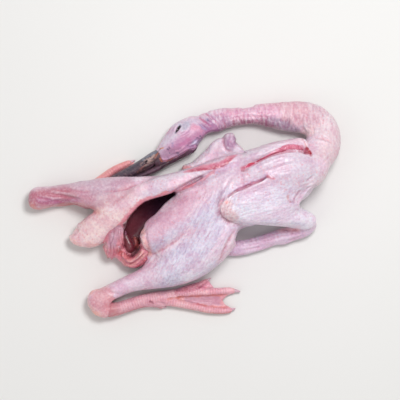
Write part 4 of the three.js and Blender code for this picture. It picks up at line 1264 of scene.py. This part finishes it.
flecks = horn.between(horn.noise(260, 3, 1.5), 0.56, 0.68, 0, 0.5)
ground = horn.mix(streaks, horn.tint(), (40, 32, 42))
horn.feed("Base Color", horn.mix(flecks, ground, (150, 116, 116)))
horn.feed("Roughness", horn.between(streaks, 0, 0.55, 0.3, 0.46))
horn.relief(horn.minus(horn.noise(600, 3), streaks), 0.25, 0.7)
horn.shader.inputs["Coat Weight"].default_value = 0.15
for piece in (upper_bill, lower_bill):
    piece.data.materials.append(horn.material)
    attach(piece, "root")
    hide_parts("duck")

# The feet
# Thin scaly skin over bone and sinew, with cross plates along the front of the shank and the toes,
# and webs between the toes. Each foot is joined up from its shank, toes and webs, then evened out.
FOOT_NET = 0.5
# Stations along the shank and each toe, outlines of the webs, and lines of plates with their half widths
NEAR_FOOT = (
    [(103, 309, 11.5, 8.6, 9.5), (109, 310, 10.4, 7.9, 9.2), (116, 309.6, 9.4, 6.9, 8.6),
     (126, 306.6, 8, 6.5, 7.4), (141, 302, 7.1, 6.6, 6.4), (150, 300.6, 6.8, 7.4, 6.2),
     (158, 300, 6.6, 8.3, 6.2), (168, 298.8, 6.2, 7.6, 5.6), (178, 299, 5.2, 5.4, 4.4)],
    [(160, 296.6, 6.4, 4.6, 5.6), (174, 293.6, 5.9, 3.9, 5.2), (186, 293.3, 5.7, 4.3, 4.9),
     (198, 292.8, 5.5, 3.9, 4.7), (208, 292.4, 5.3, 4, 4.5), (219, 291.9, 5, 3.5, 4),
     (229, 291.4, 4.5, 3.5, 3.6), (236, 291.8, 3.6, 2.2, 2.6)],
    [(158, 301, 6.4, 5, 5.6), (172, 303.2, 5.9, 4.1, 5), (184, 305.2, 5.6, 4, 4.7),
     (197, 308, 5.3, 3.7, 4.4), (208, 310.3, 5, 3.7, 4), (219, 311.5, 4.6, 3.2, 3.7),
     (228, 311.1, 4.1, 3.1, 3.3), (232.6, 310.1, 3.5, 1.9, 2.4)],
    [(162, 297, 5.6, 4.6, 5), (176, 293.2, 5.5, 3.6, 4.6), (187, 289.4, 5.4, 3.5, 4.4),
     (197, 285.9, 5.4, 2.9, 4.2), (204, 282.6, 5.1, 2.4, 3.4), (208.4, 280.2, 4.8, 1.5, 2.2)],
    [(154, 303, 6, 4, 4), (160, 306.2, 4.8, 3.2, 3.4), (164, 307.6, 3.8, 2.2, 2.5)],
)
NEAR_WEBS = (
    [(168, 300), (182, 295), (205, 292.6), (226, 291.6), (232.5, 294.2), (226.5, 297), (222.6, 301),
     (225, 305.2), (230.5, 308.3), (222, 311.6), (205, 309.6), (186, 304.6)],
    [(168, 297), (184, 289.6), (198, 284.2), (208.4, 279.6), (210, 283.6), (215, 289.6), (204, 292.8),
     (184, 295.2)],
)
NEAR_TOE_LINES = (
    ([(117, 308.4), (126, 306), (141, 301), (154, 299), (164, 297)], 6.6),
    ([(164, 297), (174, 294), (186, 293.3), (198, 292.8), (208, 292.4), (219, 291.9), (231, 291.4)], 3.8),
    ([(160, 301), (172, 303.2), (184, 305.2), (197, 308), (208, 310.3), (219, 311.5), (229, 311)], 3.8),
    ([(170, 295), (187, 289.4), (197, 285.9), (205, 282.2)], 2.9),
)
HOCK_FOLDS = (
    (0.8, 0.9, [(149.5, 302), (152.8, 303.6)]),
    (0.7, 0.9, [(166, 299.6), (176, 298.6), (186, 297.6)]),
    (0.6, 0.9, [(154, 303), (160, 303.6), (166, 305.4)]),
)
FAR_FOOT = (
    [(84, 194, 5.6, 5, 5), (90, 189.6, 5, 6, 4.6), (100, 180, 4.8, 4.6, 4.4), (112, 170.8, 4.6, 3.9, 4),
     (123, 165, 4.2, 3.3, 3.6), (131, 161.6, 3.5, 2.4, 2.8)],
    [(86, 195, 5, 5, 4.6), (106, 187, 4.8, 4.4, 4.2), (124, 178.4, 4.4, 3.6, 3.8),
     (140, 172, 3.8, 2.6, 2.8)],
)
FAR_WEB = [
    (90, 190), (99, 179), (111, 169.4), (123, 164), (131.6, 161.2), (135, 163.4), (138, 170), (144, 171.4),
    (134, 177), (118, 184), (104, 190),
]
FAR_TOE_LINES = (([(92, 187), (100, 180), (112, 170.8), (123, 165), (131, 161.6)], 4.0),)
WEB_LOW, WEB_HIGH = 2.2, 4.6  # mm above the table
PLATE_HEIGHT = 0.5
PLATE_PITCH = 2.6
FOOT_WASHES = (
    ((234, 184, 196), 0.95, 14, 8, [(104, 310), (140, 303), (165, 299)]),
    ((208, 146, 150), 0.9, 11, 9, [(104, 311), (112, 310)]),
    ((216, 170, 188), 0.95, 7, 3, [(190, 298.5), (205, 301), (216, 302)]),
    ((252, 202, 212), 0.9, 4.2, 1.6, [(170, 294.5), (198, 292.6), (230, 291.4)]),
    ((248, 198, 206), 0.9, 4.2, 1.6, [(168, 302.6), (197, 308), (230, 310.6)]),
    ((226, 132, 112), 0.6, 1.6, 1.4, [(168, 299.4), (186, 297.2), (205, 296.4), (226, 295.4)]),
    ((226, 132, 112), 0.6, 1.6, 1.4, [(176, 308.6), (196, 312), (218, 315), (230, 313.2)]),
    ((226, 132, 112), 0.5, 1.6, 1.4, [(198, 304.4), (214, 307.6), (230, 307.6)]),
    ((234, 166, 188), 0.9, 6, 4, [(178, 290.6), (190, 288), (200, 286.4), (210, 284)]),
    ((216, 136, 152), 0.7, 2, 1.5, [(176, 292.6), (192, 287.4), (206, 281.6)]),
    ((206, 112, 120), 0.7, 2, 1.8, [(107, 317), (126, 312.8), (143, 308.4), (160, 309.4)]),
    ((156, 88, 112), 0.8, 1.5, 1.2, [(149.8, 302.2), (152.4, 303.4)]),
    ((190, 110, 128), 0.8, 2.4, 2, [(109.5, 300.5), (112.5, 302)]),
)


def foot(name, limbs, webs, lines):
    """A webbed foot of joined toes, with cross plates along the lines given with their half widths."""
    parts = [limb(stations, pitch=1.0) for stations in limbs]
    piece = joined(name, parts + [slab(outline, WEB_LOW, WEB_HIGH) for outline in webs])
    clay = Clay(piece, FOOT_NET)
    clay.soften(0.7)
    clay.fill(60, 0.5)
    clay.soften(0.6)
    for line, half_width in lines:
        clay.plates(PLATE_HEIGHT, PLATE_PITCH, half_width, line)
    return clay


clay = foot("near_foot", NEAR_FOOT, NEAR_WEBS, NEAR_TOE_LINES)
for line in fan([(178, 298), (200, 297.4), (222, 297)], [(182, 302), (204, 306), (224, 306)], 7):
    clay.fold(0.25, 0.7, line, rim=0.6)
for line in fan([(180, 292), (196, 287), (209, 282)], [(184, 293.6), (200, 291.6), (213, 288.6)], 5):
    clay.fold(0.4, 0.6, line, rim=0.7)
each(clay.fold, HOCK_FOLDS)
clay.swell()
clay.paint((240, 188, 192), FOOT_WASHES)
# The grooves between the plates are painted a deeper red, for their own colour and for the shade that lies
# in them
clay.colour += 0.55 * clay.seams[:, None] * (tone(206, 122, 128) - clay.colour)
near_foot = clay.finish()
clay = foot("far_foot", FAR_FOOT, [FAR_WEB], FAR_TOE_LINES)
clay.swell()
clay.paint((240, 166, 168), [((250, 184, 174), 0.8, 2.4, 2, [(96, 176.5), (110, 167), (124, 161.5)])])
far_foot = clay.finish()

foot_skin = Paint("foot_skin", 0.38)
scales = foot_skin.between(foot_skin.cells(900, "DISTANCE_TO_EDGE"), 0.0, 0.2)
ground = mottled(foot_skin)
foot_skin.feed("Base Color", foot_skin.mix(scales, foot_skin.mix(0.2, ground, CORAL), ground))
foot_skin.relief(foot_skin.plus(scales, foot_skin.noise(700, 3)), 0.2, 0.8)
foot_skin.soft(0.15, 2, 0.25)
for piece in (near_foot, far_foot):
    piece.data.materials.append(foot_skin.material)
    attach(piece, "root")
    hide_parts("duck")

# The nails
# A short nail of pale horn at the end of each toe, which grows out of the scaly skin and tapers to a
# blunt point. The hind toe of the far foot has the darkest one.
NAIL_NET = 0.3
NAILS = (
    [(233.6, 291.4, 4.4, 1.9, 2.3), (237.5, 291.7, 4.2, 1.5, 1.9), (240.8, 292.4, 3.2, 0.6, 0.9)],
    [(230.4, 310.6, 4.1, 1.7, 2.1), (233.6, 309.9, 3.8, 1.3, 1.6), (235.8, 309.3, 3, 0.5, 0.8)],
    [(206.6, 281.2, 5, 1.3, 1.8), (209.4, 279.6, 4.8, 1, 1.4), (211.4, 278.5, 4.2, 0.4, 0.6)],
    [(163, 307.4, 3.8, 1.4, 1.7), (166.4, 308.4, 3.2, 0.6, 0.9)],
    [(130, 162, 3.6, 1.6, 1.9), (133, 160.6, 3.3, 1.1, 1.4), (135, 159.9, 2.8, 0.4, 0.6)],
    [(86, 206.4, 5, 1.8, 2), (89.6, 207.4, 4.6, 1.3, 1.5), (92.2, 208.2, 3.8, 0.5, 0.7)],
)
nails = joined("nails", [limb(stations, sides=16, pitch=0.4) for stations in NAILS])
clay = Clay(nails, NAIL_NET)
clay.paint((214, 176, 190), [((96, 62, 70), 0.9, 6, 3, [(88, 207), (92, 208)])])
clay.finish()
nail_horn = Paint("nail_horn", 0.3)
growth = nail_horn.between(nail_horn.noise(900, 3), 0.4, 0.65, 0, 0.5)
nail_horn.feed("Base Color", nail_horn.mix(growth, nail_horn.tint(), (170, 128, 140)))
nail_horn.relief(growth, 0.1, 0.6)
nails.data.materials.append(nail_horn.material)
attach(nails, "root")
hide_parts("duck")

# The torn flesh of the vent
# Fat and membrane at the tail end of the belly cut, torn when the bird was drawn, with rolled folds and
# shreds along the edge. It is worked from the solid bird as the skin is, and meets the skin all round.
FLESH_NET = 0.55
# The torn flesh: its outline, its rolled folds and shreds, and the ridges that strands make in it
VENT_BLOCK = [
    (125, 221), (117, 225.6), (106, 233), (98, 242), (90, 250), (90, 264), (102, 273), (118, 273),
    (128, 272.4), (136.4, 268.6), (143.6, 263.4), (152, 257.6), (151.6, 251.6), (148, 246), (145, 238.6),
    (139.4, 240.6), (137.6, 249.4), (133, 255), (127.8, 249.4), (125.4, 240), (124.6, 231),
]
VENT_FOLDS = (
    [(122, 254, 13, 4, 8), (127, 258.4, 15, 3.6, 8.4), (132, 260, 18.5, 3.2, 9), (138, 256.6, 22, 3, 9.4),
     (142.6, 251, 28, 2.8, 9.6), (144, 245, 33, 2.6, 8)],
    [(129, 266, 11.4, 3, 6), (136, 266, 14.6, 3.2, 7.4), (143, 261.8, 19.6, 3, 7.6),
     (149, 256, 25.6, 2.6, 8)],
    [(103.4, 246, 17, 1.6, 3.4), (105, 251, 13, 1.5, 2.6), (106.4, 254.6, 10.6, 0.9, 1.6)],
    [(106.8, 252, 13, 1.8, 3), (107.2, 256, 9.6, 1.4, 2.2), (107.6, 259, 7, 0.8, 1.2)],
    [(111.4, 253, 13, 2, 3.2), (111.4, 257.4, 9, 1.5, 2.2), (111, 260.4, 6.6, 0.8, 1.2)],
    [(124, 260, 12, 2, 3), (126.4, 265, 8.6, 1.5, 2.2), (128.2, 267.6, 6.8, 0.8, 1.2)],
)
VENT_STRANDS = (
    [(120, 227), (120.4, 236), (122.4, 246)], [(116, 231), (114.4, 238), (112, 246)],
    [(107, 241), (108.4, 249), (107.6, 257)], [(111, 244), (112.6, 251), (111.6, 258)],
    [(118, 246), (118.6, 252), (116, 258)], [(124, 250), (122.6, 256), (125.4, 263)],
)
FLESH_WASHES = (
    ((214, 180, 196), 0.9, 7.4, 5, [(118.6, 230), (114, 237), (111.6, 244)]),
    # Painted glints on the membrane
    ((234, 224, 234), 0.7, 1.7, 1.5, [(113, 233.6), (113.4, 238)]),
    ((234, 216, 226), 0.7, 1.4, 1.3, [(119.4, 246.6), (121.2, 250)]),
    ((234, 184, 190), 0.8, 2.6, 2.4, [(105.6, 243), (107, 249), (109, 251.4)]),
    ((204, 142, 166), 0.6, 1.3, 1.2, [(110.4, 241), (111.4, 248)]),
    ((228, 128, 130), 0.8, 5, 4, [(119, 252), (124, 256), (129, 258)]),
    ((252, 192, 184), 0.9, 1.5, 1.3, [(127.6, 260), (130.6, 261.8), (136.8, 257.2), (143, 251)]),
    ((194, 84, 84), 0.85, 1.2, 1.1, [(130.4, 264), (137, 260.8), (144, 254)]),
    ((252, 190, 184), 0.9, 1.7, 1.4, [(126.5, 265.4), (133, 264.6), (140, 259.4), (146.4, 252.8)]),
    ((180, 74, 86), 0.85, 1.9, 1.6, [(135, 269), (142, 263.6), (148, 258)]),
    ((226, 140, 148), 0.8, 1.6, 1.4, [(126, 266.4), (131, 268)]),
    ((150, 62, 84), 0.8, 1.3, 1.2, [(122.6, 244), (125, 250), (128, 254.6), (132.6, 256.6), (137, 252)]),
    ((230, 148, 140), 0.8, 1.4, 1.2, [(104, 249), (106, 255), (108, 258.6)]),
    ((230, 148, 140), 0.7, 1.2, 1.1, [(118.4, 257.6), (122, 260), (125, 264.4)]),
)
vent_flesh = copy_of_bird("vent_flesh")
cut(vent_flesh, slab(VENT_BLOCK), "INTERSECT")
vent_flesh = joined("vent_flesh", [vent_flesh] + [limb(stations) for stations in VENT_FOLDS])
clay = Clay(vent_flesh, FLESH_NET)
clay.soften(1.2)
clay.pull([(112, 263), (118.6, 261.6), (125, 265)], 6, (-0.4, -3.6))
# Coarse and fine clots of fat
clay.lift += 0.5 * (pimples(clay, 6.0, 2.6) - 0.6) + 0.2 * (pimples(clay, 2.6, 1.1) - 0.4)
clay.lift -= 0.7 * ease(1 - clay.inside(VENT_CUT) / 2)
clay.fold(1.4, 1.0, [(130, 264), (137, 260.8), (145, 253.4)])
clay.fold(1.0, 1.0, [(124, 257), (129, 260.6), (134, 258.6), (140, 252)])
for strand in VENT_STRANDS:
    clay.fold(-0.8, 0.9, strand, rim=0.6)
clay.swell()
clay.paint((236, 154, 168), FLESH_WASHES)
clay.shade_folds((186, 92, 104), 0.4, (240, 206, 212), 0.4, 0.35)
clay.finish()
moist = Paint("moist_flesh", 0.3)
fibres = moist.between(moist.noise(320, 4, 1.0), 0.4, 0.66, 0, 0.6)
moist.feed("Base Color", moist.mix(fibres, mottled(moist), moist.mix(0.5, moist.tint(), (150, 60, 76))))
moist.relief(moist.plus(moist.noise(420, 4, 1.0), fibres), 0.6, 0.8)
moist.soft(0.15, 2, 0.35, 0.2)
vent_flesh.data.materials.append(moist.material)
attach(vent_flesh, "root")
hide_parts("duck")

# The flesh in the furrow
# Breast flesh that shows where the skin has parted along the furrow beside the far wing. It lies on the
# bottom of the furrow in three strands, with faint ribs across them, and is moist like the torn flesh.
# Stations of each strand: a place in the plan, its rise above the skin and its half width
FURROW_FLESH = (
    ((301.4, 150, -0.4, 2.0), (296.6, 148.4, 0.5, 3.4), (287, 148.4, 0.6, 3.5), (277, 151, 0.6, 2.9),
     (269, 154.4, 0.5, 2.2), (262, 158.6, 0.2, 1.4), (255, 162.6, 0, 1.0)),
    ((254, 163.2, 0.3, 1.0), (249.6, 165.2, 0.8, 2.2), (246, 167.6, 0.3, 1.6), (242, 169.6, 0.8, 2.2)),
    ((252.6, 163.2, 0.9, 0.7), (248.4, 164.8, 1.4, 1.2), (246.4, 166.4, 0.8, 0.7), (243.6, 167, 1.5, 1.3)),
)
FURROW_DEPTH = 3.0
FURROW_NET = 0.45
FURROW_WASHES = (
    ((204, 66, 104), 0.85, 5, 3, [(253, 163.4), (243, 169.4)]),
    # Painted shade where the strand goes down into the hole
    ((112, 26, 52), 0.8, 2.6, 2, [(300.6, 151.6), (304, 151)]),
    ((214, 62, 70), 0.7, 1.4, 1.2, [(254, 163), (248, 164.8)]),
    ((160, 30, 62), 0.8, 1.5, 1.3, [(251, 167), (246, 170), (241, 171.6)]),
    # Painted glints on the wet bead of flesh
    ((240, 196, 214), 0.7, 1.1, 1.0, [(244, 166.4), (244.6, 167)]),
    ((240, 196, 214), 0.7, 1.0, 0.9, [(247.4, 168), (248, 168.4)]),
    # A painted shadow along the lower edge, under the breast skin
    ((172, 56, 86), 0.85, 1.7, 1.4, [(303, 151.4), (288, 151.6), (272, 155.2), (256, 162.6)]),
    ((230, 148, 172), 0.6, 1.4, 1.2, [(300, 146.6), (290, 145.4), (280, 147.4), (270, 151.8)]),
    # A painted glint on the membrane
    ((244, 220, 230), 0.6, 1.0, 0.8, [(271, 149.6), (274, 152)]),
)
strands = []
for strand in FURROW_FLESH:
    strands.append(limb([
        (across, down, skin_clay.top(across, down) + rise - FURROW_DEPTH, width, FURROW_DEPTH)
        for across, down, rise, width in strand
    ]))
furrow_flesh = joined("furrow_flesh", strands)
clay = Clay(furrow_flesh, FURROW_NET)
ribs = list(fan([(284, 145.4), (281.6, 151.8)], [(301, 144.8), (299, 152)], 7))
for rib in ribs:
    clay.fold(-0.35, 0.8, rib, rim=0.5)
clay.lift += 0.3 * (pimples(clay, 2.4, 0.9) - 0.4)
clay.swell()
clay.paint((212, 112, 140), [((232, 160, 184), 0.7, 2.6, 2.4, [(278, 150), (270, 152.6), (264, 155.6)])])
for rib in ribs:
    clay.wash((236, 158, 180), 0.4, 1.0, 0.9, rib)
each(clay.wash, FURROW_WASHES)
clay.finish()
furrow_flesh.data.materials.append(moist.material)
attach(furrow_flesh, "root")
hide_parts("duck")

# The lumps in the cavity
# Dark lumps of flesh left inside the tail end of the belly cut, and the strands of membrane that still
# hold them to its rim.
LUMPS = (
    [(123.5, 232, 20, 3, 4), (126.5, 239, 18, 5, 7), (129.6, 246, 16.5, 5.6, 8.6),
     (132, 253, 15.5, 5, 6.4)],
    [(134, 238, 14, 2.4, 4), (135.8, 242, 16.6, 3.4, 6.6), (136.6, 247, 16.6, 3, 5)],
    [(129.6, 256.6, 13, 3, 4.6), (135.6, 254, 14.6, 3.6, 5), (139, 249, 16, 3.2, 5),
     (140.6, 243, 18, 2.6, 4.6)],
    [(120.6, 226, 26.4, 0.9, 1.2), (121, 230, 25.4, 0.8, 0.9), (123.6, 235, 22.6, 0.9, 1)],
    [(123.6, 225.4, 26.4, 0.8, 1), (124, 229, 25, 0.6, 0.8), (126.4, 233.4, 22.4, 0.7, 0.8)],
    [(118.6, 229, 26, 1, 1.2), (121, 234, 24, 0.9, 1), (122.6, 241, 22.4, 1, 1.2)],
)
LUMP_NET = 0.4
LUMP_WASHES = (
    ((184, 98, 94), 0.95, 3.6, 2, [(135.4, 237), (137, 241), (137.6, 246)]),
    ((84, 24, 40), 0.9, 4, 3, [(129, 258), (135.6, 255.4), (140, 250), (142, 243)]),
    ((168, 112, 140), 0.9, 2.4, 1.4, [(118.6, 228), (121, 234), (122.8, 241)]),
    ((168, 112, 140), 0.9, 1.6, 1.0, [(121, 225), (123.6, 229), (126, 233.4)]),
)
belly_lumps = joined("belly_lumps", [limb(stations, pitch=0.8) for stations in LUMPS])
clay = Clay(belly_lumps, LUMP_NET)
clay.paint((112, 44, 56), LUMP_WASHES)
clay.finish()
belly_lumps.data.materials.append(moist.material)
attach(belly_lumps, "root")
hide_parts("duck")

# The box
# The bounds of the dressed bird, over all the pieces that are shown.
low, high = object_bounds()
